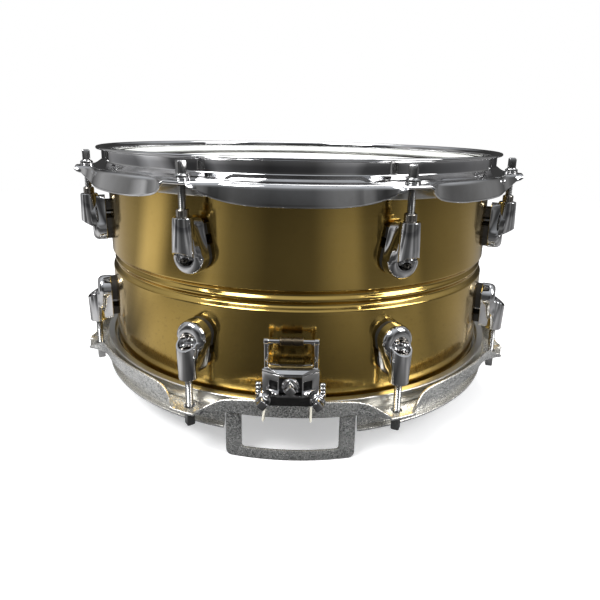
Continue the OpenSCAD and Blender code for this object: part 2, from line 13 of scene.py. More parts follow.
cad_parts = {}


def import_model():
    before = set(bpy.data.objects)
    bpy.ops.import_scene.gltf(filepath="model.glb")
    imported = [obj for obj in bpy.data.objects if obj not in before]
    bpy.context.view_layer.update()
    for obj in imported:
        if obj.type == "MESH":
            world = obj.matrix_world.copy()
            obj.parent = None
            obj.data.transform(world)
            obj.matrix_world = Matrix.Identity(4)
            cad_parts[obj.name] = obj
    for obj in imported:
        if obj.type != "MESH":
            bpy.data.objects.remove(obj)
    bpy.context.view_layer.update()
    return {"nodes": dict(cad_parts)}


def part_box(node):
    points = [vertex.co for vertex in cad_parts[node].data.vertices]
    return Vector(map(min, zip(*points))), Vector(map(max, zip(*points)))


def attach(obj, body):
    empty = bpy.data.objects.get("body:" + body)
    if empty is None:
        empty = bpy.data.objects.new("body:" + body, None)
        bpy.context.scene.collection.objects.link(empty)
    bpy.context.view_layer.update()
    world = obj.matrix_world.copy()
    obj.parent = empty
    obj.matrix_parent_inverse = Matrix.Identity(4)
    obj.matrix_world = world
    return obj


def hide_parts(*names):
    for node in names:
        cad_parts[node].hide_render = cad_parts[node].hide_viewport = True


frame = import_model()

MM = 0.001
shell_low, shell_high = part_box("shell")
MID = (shell_low.z + shell_high.z) / 2 / MM     # level of the shell's middle above the floor
SHELL_R = (shell_high.y - shell_low.y) / 2 / MM
HALF_H = (shell_high.z - shell_low.z) / 2 / MM
LUGS = 8
LUG_ANGLES = [(i + 0.5) * 360 / LUGS for i in range(LUGS)]


# ---------------------------------------------------------------- shapes

class Shape:
    """Vertices (x, out, z) in millimetres and faces. Shapes add up."""

    def __init__(self, verts=(), faces=()):
        self.verts = np.array(verts, float).reshape(-1, 3)
        self.faces = list(faces)

    def __add__(self, other):
        base = len(self.verts)
        moved = [tuple(i + base for i in face) for face in other.faces]
        return Shape(np.vstack([self.verts, other.verts]), self.faces + moved)

    def moved(self, x=0.0, out=0.0, z=0.0):
        return Shape(self.verts + np.array([x, out, z]), self.faces)


def total(shapes):
    result = Shape()
    for shape in shapes:
        result = result + shape
    return result


def grid(rings, wrap=True, caps=False):
    """Quads between equal rings of points. wrap joins the last ring to the first; caps close the ends."""
    count, size = len(rings), len(rings[0])
    faces = []
    for i in range(count if wrap else count - 1):
        for j in range(size):
            a, b = i * size + j, i * size + (j + 1) % size
            k = (i + 1) % count
            faces.append((a, b, k * size + (j + 1) % size, k * size + j))
    if caps:
        faces.append(tuple(range(size))[::-1])
        faces.append(tuple((count - 1) * size + j for j in range(size)))
    return Shape(np.array(rings, float).reshape(-1, 3), faces)


def turns(count):
    """Equal steps of one turn, in radians."""
    return [2 * math.pi * k / count for k in range(count)]


def rectangle(half_x, half_y):
    """The corners of a rectangle about the origin."""
    return [(-half_x, -half_y), (half_x, -half_y), (half_x, half_y), (-half_x, half_y)]


def loft(rings):
    """A closed solid through a row of rings."""
    return grid(rings, wrap=False, caps=True)


def revolve(profile, steps, place):
    """Turns a closed outline of (radius, height) once round. place(cosine, sine, height) gives each point."""
    return grid([[place(r * math.cos(a), r * math.sin(a), height) for r, height in profile]
                 for a in turns(steps)])


def lathe(profile, steps=48, x=0.0, out=0.0):
    """Turns an outline of (radius, z) about an upright axis."""
    return revolve(profile, steps, lambda c, s, z: (x + s, out - c, z))


def lathe_out(profile, steps=48, x=0.0, z=0.0):
    """Turns an outline of (radius, out) about an axis that points out of the drum."""
    return revolve(profile, steps, lambda c, s, out: (x + c, out, z + s))


def lathe_x(profile, steps=48, out=0.0, z=0.0):
    """Turns an outline of (radius, x) about an axis along x."""
    return revolve(profile, steps, lambda c, s, x: (x, out + c, z + s))


def arc(cx, cy, r, a0, a1, n=6):
    """Points on an arc, angles in degrees, as a list of pairs."""
    angles = np.radians(np.linspace(a0, a1, n + 1))
    return [(cx + r * math.cos(a), cy + r * math.sin(a)) for a in angles]


def rounded(points, radius, n=4):
    """A closed outline with each corner rounded."""
    count = len(points)
    result = []
    for i, corner in enumerate(points):
        p = np.array(corner, float)
        before = np.array(points[i - 1], float) - p
        after = np.array(points[(i + 1) % count], float) - p
        u, v = before / np.linalg.norm(before), after / np.linalg.norm(after)
        half = math.acos(max(-1.0, min(1.0, float(u @ v)))) / 2
        reach = min(radius / math.tan(half), np.linalg.norm(before) * 0.49, np.linalg.norm(after) * 0.49)
        r = reach * math.tan(half)
        centre = p + (u + v) / np.linalg.norm(u + v) * (r / math.sin(half))
        start, end = p + u * reach - centre, p + v * reach - centre
        a0 = math.atan2(start[1], start[0])
        turn = math.atan2(start[0] * end[1] - start[1] * end[0], float(start @ end))
        result += [tuple(centre + r * np.array([math.cos(a0 + turn * k / n), math.sin(a0 + turn * k / n)]))
                   for k in range(n + 1)]
    return result


def ribbon(path, thickness, cap_steps=3):
    """Closed outline of a bent sheet: a middle line given as pairs, with round ends."""
    p = np.array(path, float)
    direction = np.gradient(p, axis=0)
    direction[0], direction[-1] = p[1] - p[0], p[-1] - p[-2]
    direction /= np.linalg.norm(direction, axis=1)[:, None]
    normal = np.stack([-direction[:, 1], direction[:, 0]], 1)
    half = thickness / 2
    left, right = p + normal * half, (p - normal * half)[::-1]

    def cap(centre, n, d):
        return [centre + half * (n * math.cos(a) + d * math.sin(a))
                for a in np.linspace(0, math.pi, cap_steps + 2)[1:-1]]

    return np.array(list(left) + cap(p[-1], normal[-1], direction[-1]) + list(right)
                    + cap(p[0], -normal[0], -direction[0]))


def block(x0, x1, out0, out1, z0, z1, edge=0.5, steps=2):
    """A box with rounded edges, lofted along out."""
    rings = []
    outline = [(x0, z0), (x1, z0), (x1, z1), (x0, z1)]
    ease = [edge * (1 - math.cos(math.pi / 2 * k / steps)) for k in range(steps + 1)]
    inset = [edge * (1 - math.sin(math.pi / 2 * k / steps)) for k in range(steps + 1)]
    stations = [(out0 + e, i) for e, i in zip(ease, inset)]
    stations += [(out1 - e, i) for e, i in zip(ease[::-1], inset[::-1])]
    centre = np.array([(x0 + x1) / 2, (z0 + z1) / 2])
    half = np.array([(x1 - x0) / 2, (z1 - z0) / 2])
    for out, i in stations:
        corners = [tuple(centre + np.sign(np.array(c) - centre) * (half - i)) for c in outline]
        rings.append([(x, out, z) for x, z in rounded(corners, max(edge - i * 0.5, 0.05), 3)])
    return loft(rings)


def prism(plan, low, high):
    """An upright prism on a plan of (x, out). low and high are levels or functions of out."""
    def level(rule, out):
        return rule(out) if callable(rule) else rule

    return loft([[(x, out, level(rule, out)) for x, out in plan] for rule in (low, high)])


def tube(points, radius, sides, twist):
    """A round bar along points (x, out, z). twist(length, angle) scales the radius."""
    p = np.array(points, float)
    rings = []
    side = np.array([1.0, 0.0, 0.0])
    length = 0.0
    for i in range(len(p)):
        d = p[min(i + 1, len(p) - 1)] - p[max(i - 1, 0)]
        d /= np.linalg.norm(d)
        side = side - d * (side @ d)
        side /= np.linalg.norm(side)
        other = np.cross(d, side)
        length += np.linalg.norm(p[i] - p[i - 1]) if i else 0
        rings.append([p[i] + radius * twist(length, a) * (side * math.cos(a) + other * math.sin(a))
                      for a in turns(sides)])
    return loft(rings)


def around(shape, angles=(0,), lower=False):
    """Copies of a shape at angles round the drum; 0 is the throw-off's side. lower mirrors the levels."""
    copies = []
    for angle in angles:
        a = math.radians(angle)
        x, out, z = shape.verts.T
        world = np.stack([x * math.cos(a) + out * math.sin(a), x * math.sin(a) - out * math.cos(a),
                          (-z if lower else z) + MID], 1)
        copies.append(Shape(world, shape.faces))
    return total(copies)


def build(name, world, material, body="drum", nodes=(), crease=32, cutters=None, bevel=0.0):
    """Makes the object from a shape already placed by around(), cuts it, and hands it to the frame."""
    obj = mesh_object(name, world)
    if cutters is not None:
        combine(obj, cutters)
    if bevel:
        soften(obj, bevel)
    mesh = obj.data
    mesh.polygons.foreach_set("use_smooth", [True] * len(mesh.polygons))
    mesh.set_sharp_from_angle(angle=math.radians(crease))
    mesh.materials.clear()
    mesh.materials.append(material)
    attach(obj, body)
    if nodes:
        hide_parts(*nodes)
    return obj


def mesh_object(name, world):
    mesh = bpy.data.meshes.new(name)
    mesh.from_pydata((world.verts * MM).tolist(), [], world.faces)
    bm = bmesh.new()
    bm.from_mesh(mesh)
    bmesh.ops.remove_doubles(bm, verts=bm.verts, dist=1e-6)
    bmesh.ops.dissolve_degenerate(bm, edges=bm.edges, dist=1e-7)
    bmesh.ops.recalc_face_normals(bm, faces=bm.faces)
    bm.to_mesh(mesh)
    bm.free()
    obj = bpy.data.objects.new(name, mesh)
    bpy.context.scene.collection.objects.link(obj)
    return obj


def apply_modifiers(obj):
    graph = bpy.context.evaluated_depsgraph_get()
    mesh = bpy.data.meshes.new_from_object(obj.evaluated_get(graph))
    obj.modifiers.clear()
    old = obj.data
    obj.data = mesh
    bpy.data.meshes.remove(old)


def combine(obj, shape, operation="DIFFERENCE"):
    """Cuts a closed shape out of the object, or joins it on with UNION."""
    other = mesh_object(obj.name + "_other", shape)
    change = obj.modifiers.new("combine", "BOOLEAN")
    change.operation = operation
    change.solver = "EXACT"
    change.object = other
    apply_modifiers(obj)
    bpy.data.objects.remove(other)


def carve(pieces, cuts, bevel=0.0):
    """Joins closed shapes into one, takes the cuts out of it and gives back a shape."""
    obj = mesh_object("workpiece", pieces[0])
    for piece in pieces[1:]:
        combine(obj, piece, "UNION")
    # a boolean that fails gives back nothing, or one piece only
    joined, wanted = np.array([v.co / MM for v in obj.data.vertices]), total(pieces).verts
    if not len(joined) or np.abs([joined.min(0) - wanted.min(0), joined.max(0) - wanted.max(0)]).max() > 0.05:
        raise ValueError("joining lost a piece")
    for piece in cuts:
        combine(obj, piece)
    if bevel:
        soften(obj, bevel)
    shape = Shape([v.co / MM for v in obj.data.vertices], [tuple(f.vertices) for f in obj.data.polygons])
    bpy.data.objects.remove(obj)
    return shape


def soften(obj, width):
    change = obj.modifiers.new("bevel", "BEVEL")
    change.width = width * MM
    change.segments = 2
    change.limit_method = "ANGLE"
    change.angle_limit = math.radians(28)
    change.use_clamp_overlap = True
    apply_modifiers(obj)


# ---------------------------------------------------------------- materials

class Nodes:
    """A short way to write a node material, or the nodes of a world."""

    def __init__(self, name, kind=bpy.data.materials, shader="Principled BSDF"):
        self.material = kind.new(name)
        self.material.use_nodes = True
        self.tree = self.material.node_tree
        self.shader = self.tree.nodes[shader]

    def node(self, kind, **inputs):
        made = self.tree.nodes.new(kind)
        for key, value in inputs.items():
            if hasattr(made, key):
                setattr(made, key, value)
            else:
                self.put(made.inputs[key.replace("_", " ")], value)
        return made

    def put(self, socket, value):
        if isinstance(value, bpy.types.NodeSocket):
            self.tree.links.new(value, socket)
        else:
            socket.default_value = value

    def math(self, operation, a, b=0.0, clamp=False):
        made = self.tree.nodes.new("ShaderNodeMath")
        made.operation = operation
        made.use_clamp = clamp
        self.put(made.inputs[0], a)
        self.put(made.inputs[1], b)
        return made.outputs[0]

    def ramp(self, value, low, high, to_low=0.0, to_high=1.0):
        made = self.tree.nodes.new("ShaderNodeMapRange")
        keys = ("Value", "From Min", "From Max", "To Min", "To Max")
        for key, v in zip(keys, (value, low, high, to_low, to_high)):
            self.put(made.inputs[key], v)
        return made.outputs["Result"]

    def mix(self, factor, a, b):
        made = self.tree.nodes.new("ShaderNodeMix")
        made.data_type = "RGBA"
        self.put(made.inputs["Factor"], factor)
        self.put(made.inputs[6], a)
        self.put(made.inputs[7], b)
        return made.outputs[2]

    def position(self):
        return self.node("ShaderNodeTexCoord").outputs["Object"]

    def angle(self, x, y):
        """Angle round the drum from the throw-off's side."""
        return self.math("ARCTAN2", x, self.math("MULTIPLY", y, -1.0))

    def azimuth(self, x, y):
        """Turns round the drum from behind it: 0.5 is the throw-off's side."""
        return self.math("ADD", self.math("MULTIPLY", self.angle(x, y), 0.5 / math.pi), 0.5)

    def radius(self, x, y):
        """Distance from the drum's axis."""
        return self.math("SQRT", self.math("ADD", self.math("MULTIPLY", x, x), self.math("MULTIPLY", y, y)))

    def stops(self, value, levels):
        """A soft ramp of greys through (degrees, level) pairs on a turn from azimuth()."""
        made = self.tree.nodes.new("ShaderNodeValToRGB")
        self.put(made.inputs[0], value)
        ramp = made.color_ramp
        for index, (degrees, level) in enumerate(levels):
            place = degrees / 360 + 0.5
            stop = ramp.elements[index] if index < 2 else ramp.elements.new(place)
            stop.position = place
            stop.color = (level, level, level, 1)
        return made.outputs[0]

    def split(self, vector):
        made = self.node("ShaderNodeSeparateXYZ", Vector=vector)
        return made.outputs

    def round_the_drum(self, along, up):
        """Coordinates that follow the shell: distance round it times along, height times up."""
        x, y, z = self.split(self.position())
        made = self.node("ShaderNodeCombineXYZ",
                         X=self.math("MULTIPLY", self.angle(x, y), along * SHELL_R * MM),
                         Y=self.math("MULTIPLY", z, up))
        return made.outputs[0]

    def noise(self, vector, scale, detail=3.0, roughness=0.5):
        return self.node("ShaderNodeTexNoise", Vector=vector, Scale=scale, Detail=detail,
                         Roughness=roughness).outputs["Fac"]

    def bump(self, height, strength, distance):
        made = self.node("ShaderNodeBump", Height=height, Strength=strength, Distance=distance * MM)
        self.put(self.shader.inputs["Normal"], made.outputs[0])

    def set(self, **values):
        for key, value in values.items():
            self.put(self.shader.inputs[key.replace("_", " ")], value)
        return self.material


def rgb(r, g, b):
    return (r, g, b, 1.0)


def brass():
    m = Nodes("brass_polished")
    lines = m.noise(m.round_the_drum(9, 3200), 1.0, 3, 0.6)
    patches = m.noise(m.position(), 14, 5, 0.6)
    spots = m.noise(m.position(), 420, 2, 0.55)
    height = m.split(m.position())[2]
    low_down = m.ramp(height, MID * MM, (MID - HALF_H) * MM)
    tarnish = m.math("MULTIPLY", m.ramp(spots, 0.60, 0.72), m.ramp(low_down, 0.0, 1.0, 0.12, 0.75), clamp=True)
    base = m.mix(m.ramp(patches, 0.35, 0.7), rgb(0.70, 0.48, 0.13), rgb(0.60, 0.40, 0.10))
    base = m.mix(m.ramp(lines, 0.3, 0.75, 0.0, 0.4), base, rgb(0.84, 0.62, 0.24))
    base = m.mix(m.ramp(low_down, 0.0, 0.6, 0.0, 0.5), base, rgb(0.38, 0.26, 0.07))
    colour = m.mix(tarnish, base, rgb(0.26, 0.18, 0.07))
    rough = m.math("ADD", m.ramp(lines, 0.25, 0.8, 0.10, 0.20), m.math("MULTIPLY", tarnish, 0.2))
    m.bump(lines, 0.10, 0.05)
    tangent = m.node("ShaderNodeTangent", direction_type="RADIAL", axis="Z")
    m.put(m.shader.inputs["Tangent"], tangent.outputs[0])
    return m.set(Base_Color=colour, Metallic=1.0, Roughness=rough, Anisotropic=0.6, Anisotropic_Rotation=0.25)


def chrome(name="chrome", tone=0.80, low=0.02, high=0.055):
    m = Nodes(name)
    smudge = m.noise(m.position(), 60, 4, 0.6)
    fine = m.noise(m.position(), 900, 2, 0.5)
    rough = m.math("ADD", m.ramp(smudge, 0.35, 0.75, low, high), m.ramp(fine, 0.66, 0.82, 0.0, 0.05))
    clean, hazy = rgb(tone, tone, tone * 1.01), rgb(tone * 0.86, tone * 0.85, tone * 0.84)
    colour = m.mix(m.ramp(smudge, 0.4, 0.8), clean, hazy)
    m.bump(smudge, 0.03, 0.15)
    return m.set(Base_Color=colour, Metallic=1.0, Roughness=rough)


def worn_chrome():
    m = Nodes("chrome_pitted")
    pits = m.node("ShaderNodeTexVoronoi", Vector=m.position(), Scale=900.0).outputs["Distance"]
    cloud = m.noise(m.position(), 70, 5, 0.65)
    grain = m.noise(m.position(), 760, 3, 0.7)
    normal = m.split(m.node("ShaderNodeNewGeometry").outputs["Normal"])
    # Painted top light: faces that point up are tinted cream and carry fewer dark pits, so the top of the hoop
    # reads lighter. The dark pits and the cloudy grain are wear.
    facing_up = m.ramp(normal[2], 0.25, 0.7)
    pits_and_top_light = m.math("MULTIPLY", m.ramp(grain, 0.47, 0.58), m.ramp(cloud, 0.3, 0.62, 0.35, 1.0), clamp=True)
    pits_and_top_light = m.math("MULTIPLY", pits_and_top_light, m.ramp(facing_up, 0.0, 1.0, 1.0, 0.25))
    top_lit_tint = m.mix(facing_up, rgb(0.92, 0.92, 0.90), rgb(0.82, 0.79, 0.72))
    colour = m.mix(pits_and_top_light, top_lit_tint, rgb(0.20, 0.20, 0.20))
    rough = m.ramp(pits_and_top_light, 0.0, 1.0, 0.26, 0.5)
    m.bump(m.math("ADD", m.ramp(pits, 0.0, 0.35), grain), 0.5, 0.25)
    return m.set(Base_Color=colour, Metallic=0.87, Roughness=rough)


def grained(name, grain, light, dark, rough, bump=None, **values):
    """A material whose one noise drives the colour, the roughness and the bump. grain(m) makes the noise."""
    m = Nodes(name)
    fine = grain(m)
    if bump:
        m.bump(fine, *bump)
    return m.set(Base_Color=m.mix(m.ramp(fine, 0.3, 0.7), rgb(*light), rgb(*dark)),
                 Roughness=m.ramp(fine, 0.3, 0.7, *rough), **values)


def steel(name, r, g, b, rough):
    return grained(name, lambda m: m.noise(m.position(), 300, 3, 0.6), (r, g, b),
                   (r * 0.75, g * 0.74, b * 0.72), (rough * 0.7, rough * 1.4), (0.06, 0.05), Metallic=1.0)


def rubber(name="black_rubber", tone=0.012, rough=0.55):
    return grained(name, lambda m: m.noise(m.position(), 1500, 2, 0.6), (tone, tone, tone),
                   (tone * 1.8, tone * 1.7, tone * 1.6), (rough * 0.8, rough * 1.15), (0.1, 0.05))


def coated_film():
    m = Nodes("coated_head")
    spray = m.noise(m.position(), 1400, 3, 0.7)
    cloud = m.noise(m.position(), 18, 4, 0.6)
    x, y, _ = m.split(m.position())
    radius = m.radius(x, y)
    bare = m.ramp(radius, (SHELL_R - 6.5) * MM, (SHELL_R - 5.5) * MM)
    white = m.mix(m.ramp(cloud, 0.35, 0.7), rgb(0.82, 0.83, 0.79), rgb(0.76, 0.77, 0.72))
    m.bump(spray, 0.35, 0.12)
    return m.set(Base_Color=m.mix(bare, white, rgb(0.62, 0.64, 0.60)), Roughness=m.ramp(bare, 0, 1, 0.62, 0.28))


def cord_fibre():
    m = Nodes("cord_fibre")
    weave = m.node("ShaderNodeTexWave", Vector=m.position(), Scale=900.0, Distortion=3.0).outputs["Fac"]
    shade = m.mix(weave, rgb(0.66, 0.62, 0.50), rgb(0.86, 0.84, 0.74))
    m.bump(weave, 0.5, 0.1)
    return m.set(Base_Color=shade, Roughness=0.75)


BRASS = brass()
CHROME = chrome()
WORN = worn_chrome()
ROD = steel("rod_steel", 0.60, 0.60, 0.60, 0.16)
NUT = steel("nut_nickel", 0.46, 0.43, 0.39, 0.2)
PLAIN = steel("plated_steel", 0.62, 0.62, 0.63, 0.22)
WIRE = steel("snare_wire", 0.66, 0.66, 0.67, 0.2)
COPPER = steel("plate_copper", 0.72, 0.45, 0.30, 0.26)
KNURL = steel("knurl_dark", 0.16, 0.13, 0.09, 0.3)
ALUMINIUM = grained("aluminium_channel", lambda m: m.noise(m.round_the_drum(6, 900), 1.0, 4, 0.6),
                    (0.80, 0.79, 0.75), (0.62, 0.61, 0.58), (0.24, 0.42), (0.08, 0.05), Metallic=1.0)
RUBBER = rubber()
BLACK = rubber("satin_black", 0.006, 0.34)
FILM = coated_film()
CLEAR = grained("snare_side_film", lambda m: m.noise(m.position(), 30, 4, 0.6), (0.86, 0.88, 0.88),
                (0.78, 0.81, 0.81), (0.16, 0.3), Alpha=0.55)
CORD = cord_fibre()


# ---------------------------------------------------------------- shell and heads

BEAD_HALF = 8.2
GROOVE = 3.4
RIDGE = 1.6
WALL = 1.2
EDGE_R = 3.4


def bead_depth(u):
    """How far the bead lies below the wall; u runs from 0 on the ridge to 1 at the bead's end."""
    swing = (GROOVE - RIDGE / 2) / 2 * (1 - math.cos(2 * math.pi * u))
    return swing + RIDGE / 2 * (1 + math.cos(math.pi * u))


def shell_shape():
    bead = [(SHELL_R - bead_depth(abs(u)), u * BEAD_HALF) for u in np.linspace(-1, 1, 65)]
    edge = arc(SHELL_R - EDGE_R, HALF_H - EDGE_R, EDGE_R, 0, 125, 10)
    lip = (SHELL_R - 9.3, HALF_H - 4.6)
    inner = [(lip[0] + WALL * 0.7, lip[1] - WALL * 0.7)]
    inner += arc(SHELL_R - EDGE_R, HALF_H - EDGE_R, EDGE_R - WALL, 125, 0, 10)
    walls = [(SHELL_R, z) for z in np.linspace(BEAD_HALF + 0.5, HALF_H - EDGE_R - 0.5, 5)]
    top = walls + edge + [lip]

    def flipped(points):
        return [(r, -z) for r, z in points[::-1]]

    outline = flipped(top) + bead + top + inner
    outline += [(r - WALL, z) for r, z in bead[::-1]] + flipped(inner)
    return lathe(outline, 512)


VENT_ANGLE, VENT_Z, VENT_R = 90, 33, 5
vent_bar = [(0, SHELL_R - 8), (VENT_R + 1, SHELL_R - 8), (VENT_R + 1, SHELL_R + 8), (0, SHELL_R + 8)]
build("shell_brass", around(shell_shape()), BRASS, nodes=["shell"], crease=50,
      cutters=around(lathe_out(vent_bar, 40, 0, VENT_Z), [VENT_ANGLE]))


def grommet_shape():
    r = VENT_R
    outline = [(r, SHELL_R - 2.6), (r + 2.2, SHELL_R - 2.6), (r + 2.5, SHELL_R - 1.9), (r + 1, SHELL_R - 1.5),
               (r + 1, SHELL_R + 0.3), (r + 3.3, SHELL_R + 0.4), (r + 3.5, SHELL_R + 0.8),
               (r + 2.6, SHELL_R + 1.3), (r + 1.2, SHELL_R + 1.5), (r + 0.3, SHELL_R + 1.3), (r, SHELL_R + 0.8)]
    return lathe_out(outline, 56, 0, VENT_Z)


build("vent_eyelet", around(grommet_shape(), [VENT_ANGLE]), CHROME, nodes=["vent_grommet"])


FLESH_IN, FLESH_OUT, FLESH_LOW, FLESH_TOP = 180.3, 186.5, 70.5, 80.45


def film_shape():
    top = HALF_H + 0.22
    path = [(0.01, top), (60, top), (120, top), (SHELL_R - 6, top), (SHELL_R - 3.4, top - 0.05)]
    path += arc(SHELL_R - 2.9, top - 3.6, 3.55, 84, 8, 7)
    path += [(SHELL_R + 0.72, HALF_H - 5), (SHELL_R + 1.1, HALF_H - 5.9), (FLESH_IN, HALF_H - 6.2)]
    outline = ribbon(path, 0.3, 1)
    return lathe([(max(r, 0.0), z) for r, z in outline], 256)


def flesh_shape():
    corners = [(FLESH_IN, FLESH_LOW), (FLESH_OUT, FLESH_LOW), (FLESH_OUT, FLESH_TOP), (FLESH_IN, FLESH_TOP)]
    return lathe(rounded(corners, 1.0, 4), 256)


build("batter_film", around(film_shape()), FILM, nodes=["batter_head"])
build("snare_film", around(film_shape(), lower=True), CLEAR, nodes=["snare_head"])
build("batter_channel", around(flesh_shape()), ALUMINIUM, nodes=["batter_flesh_hoop"])
build("snare_channel", around(flesh_shape(), lower=True), ALUMINIUM, nodes=["snare_flesh_hoop"])


# ---------------------------------------------------------------- hoops

HOOP_T = 2.3
RIM_R, RIM_TOP = 186.3, 97.5
COLLAR_R = 180.65
FLANGE_Z = 83.1
EAR_Z = 80.55
EAR_R = 203.0
FOLD_R = 191.6
ROD_CIRCLE = 193.85
# Depth of the skirt below the flange by degrees from the ear's middle
SKIRT = [(0.0, 0.0), (2.3, 0.0), (3.3, 2.2), (5.0, 6.0), (7.0, 9.0), (9.0, 10.7), (12.0, 12.0), (15.0, 12.7),
         (22.5, 12.9)]
# Radius of the line where the sheet folds down, by degrees from the ear's middle
FOLD = [(0.0, EAR_R), (2.2, EAR_R - 0.1), (3.0, 201.6), (4.0, 198.9), (5.0, 196.4), (6.5, 193.7), (8.0, 192.3),
        (10.0, FOLD_R), (22.5, FOLD_R)]


def smooth_table(table, value):
    """Reads a table of pairs with a monotone cubic between them."""
    xs, ys = np.array([p[0] for p in table]), np.array([p[1] for p in table])
    steps = np.diff(ys) / np.diff(xs)
    inner = [2 * a * b / (a + b) if a * b > 0 else 0.0 for a, b in zip(steps, steps[1:])]
    slopes = np.array([0.0] + inner + [0.0])
    i = int(np.clip(np.searchsorted(xs, value) - 1, 0, len(xs) - 2))
    h = xs[i + 1] - xs[i]
    t = (value - xs[i]) / h
    return ((1 + 2 * t) * (1 - t) ** 2 * ys[i] + t * (1 - t) ** 2 * h * slopes[i]
            + t * t * (3 - 2 * t) * ys[i + 1] + t * t * (t - 1) * h * slopes[i + 1])


def hoop_section(offset):
    """Middle line of the sheet, as (radius, z), at an angle from the nearest ear."""
    half = HOOP_T / 2
    path = [(RIM_R - half, RIM_TOP - half)]
    path += arc(COLLAR_R + 2.2, RIM_TOP - half - 2.2, 2.2, 90, 180, 6)
    path += [(COLLAR_R, 91.0)]
    path += arc(COLLAR_R + 2.6, FLANGE_Z + 3.9, 2.6, 180, 250, 6)
    fold, depth = smooth_table(FOLD, offset), smooth_table(SKIRT, offset)
    bend, full_turn = 2.2, math.radians(76)
    turn = full_turn * min(1.0, depth / 3.5)
    start = fold - half - bend
    for t in (0.04, 0.2, 0.45, 0.7, 0.96):
        r = 186.0 + (start - 186.0) * t
        path.append((r, EAR_Z + 1.2 * max(0.0, min(1.0, (188.6 - r) / 2.4))))
    # the fold and the skirt below it, in even steps along the sheet
    straight = max(depth - bend * (1 - math.cos(turn)), 0.0) / max(math.sin(turn), 0.35)
    straight += bend * (1 - turn / full_turn)
    for s in np.linspace(0, bend * turn + straight, 13):
        a = min(s / bend, turn)
        rest = s - bend * a
        path.append((start + bend * math.sin(a) + rest * math.cos(a),
                     EAR_Z - bend * (1 - math.cos(a)) - rest * math.sin(a)))
    return path


def hoop_shape():
    rings = []
    steps_per_lug = 96
    for i in range(LUGS * steps_per_lug):
        # closer steps near the ears
        t = (i % steps_per_lug) / steps_per_lug * 2 - 1
        offset = math.copysign(abs(t) ** 1.5, t) * 180 / LUGS
        angle = math.radians(LUG_ANGLES[i // steps_per_lug] + offset)
        outline = ribbon(hoop_section(abs(offset)), HOOP_T, 4)
        rings.append([(r * math.sin(angle), r * math.cos(angle), z) for r, z in outline])
    return grid(rings)


def rod_holes(lower):
    bar = [(0, 70), (4.2, 70), (4.2, 90), (0, 90)]
    return around(lathe(bar, 40, 0, ROD_CIRCLE), LUG_ANGLES, lower)


build("batter_hoop_steel", around(hoop_shape()), CHROME, nodes=["batter_hoop"], crease=40,
      cutters=rod_holes(False))

LOOP_R = 184.0
LOOP_HALF = 47.5
LOOP_TURN = -0.5
LEG_W = 12.0
BAR_H = 8.0
LOOP_TOP = 85.1


def guard_loop_shape():
    """The loop's sheet, from an outer to an inner outline that share their corners."""
    steps = 8

    def outline(inset_x, inset_z, radius):
        half, low = LOOP_HALF - inset_x, MID - inset_z
        left = [(-half, z) for z in np.linspace(LOOP_TOP, low - radius, 5)[:-1]]
        corner = [(-half + radius - radius * math.cos(a), low - radius + radius * math.sin(a))
                  for a in np.linspace(0, math.pi / 2, steps)]
        bar = [(x, low) for x in np.linspace(-half + radius, half - radius, 26)[1:-1]]
        right = [(-x, z) for x, z in (left + corner)[::-1]]
        return left + corner + bar + right

    outer, inner = outline(0, 0, 4.5), outline(LEG_W, BAR_H, 2.2)
    edge = 0.7
    rings = []
    for a, b in zip(outer, inner):
        a, b = np.array(a), np.array(b)
        across = (b - a) / np.linalg.norm(b - a)
        half = HOOP_T / 2
        bevel = [(edge, 0), (edge * 0.3, edge * 0.3), (0, edge)]
        section = [(a + across * i, half - d) for i, d in bevel]
        section += [(a + across * i, d - half) for i, d in bevel[::-1]]
        section += [(b - across * i, d - half) for i, d in bevel]
        section += [(b - across * i, half - d) for i, d in bevel[::-1]]
        rings.append([((LOOP_R + d) * math.sin(p[0] / LOOP_R), (LOOP_R + d) * math.cos(p[0] / LOOP_R), p[1])
                      for p, d in section])
    return loft(rings)


def gate_cutters():
    return around(block(-LOOP_HALF - 1, LOOP_HALF + 1, 160, RIM_R + 8, LOOP_TOP, 112, 0.2),
                  [LOOP_TURN, 180 + LOOP_TURN], lower=True)


build("snare_hoop_steel", around(hoop_shape(), lower=True), WORN, nodes=["snare_hoop"],
      crease=40, cutters=rod_holes(True) + gate_cutters())
build("guard_loop_pair", around(guard_loop_shape(), [LOOP_TURN, 180 + LOOP_TURN], lower=True), WORN,
      nodes=["guard_loops"], crease=40)


# ---------------------------------------------------------------- rods, washers and nuts

ROD_R = 2.75
PITCH = 1.3
HEAD_Z = EAR_Z + HOOP_T / 2 + 1.62
HEAD_TOP = 94.4
KEY = 6.0


def square_ring(half, z, corner=0.8, steps=3):
    return [(x, out, z) for x, out in rounded(rectangle(half, half), corner, steps)]


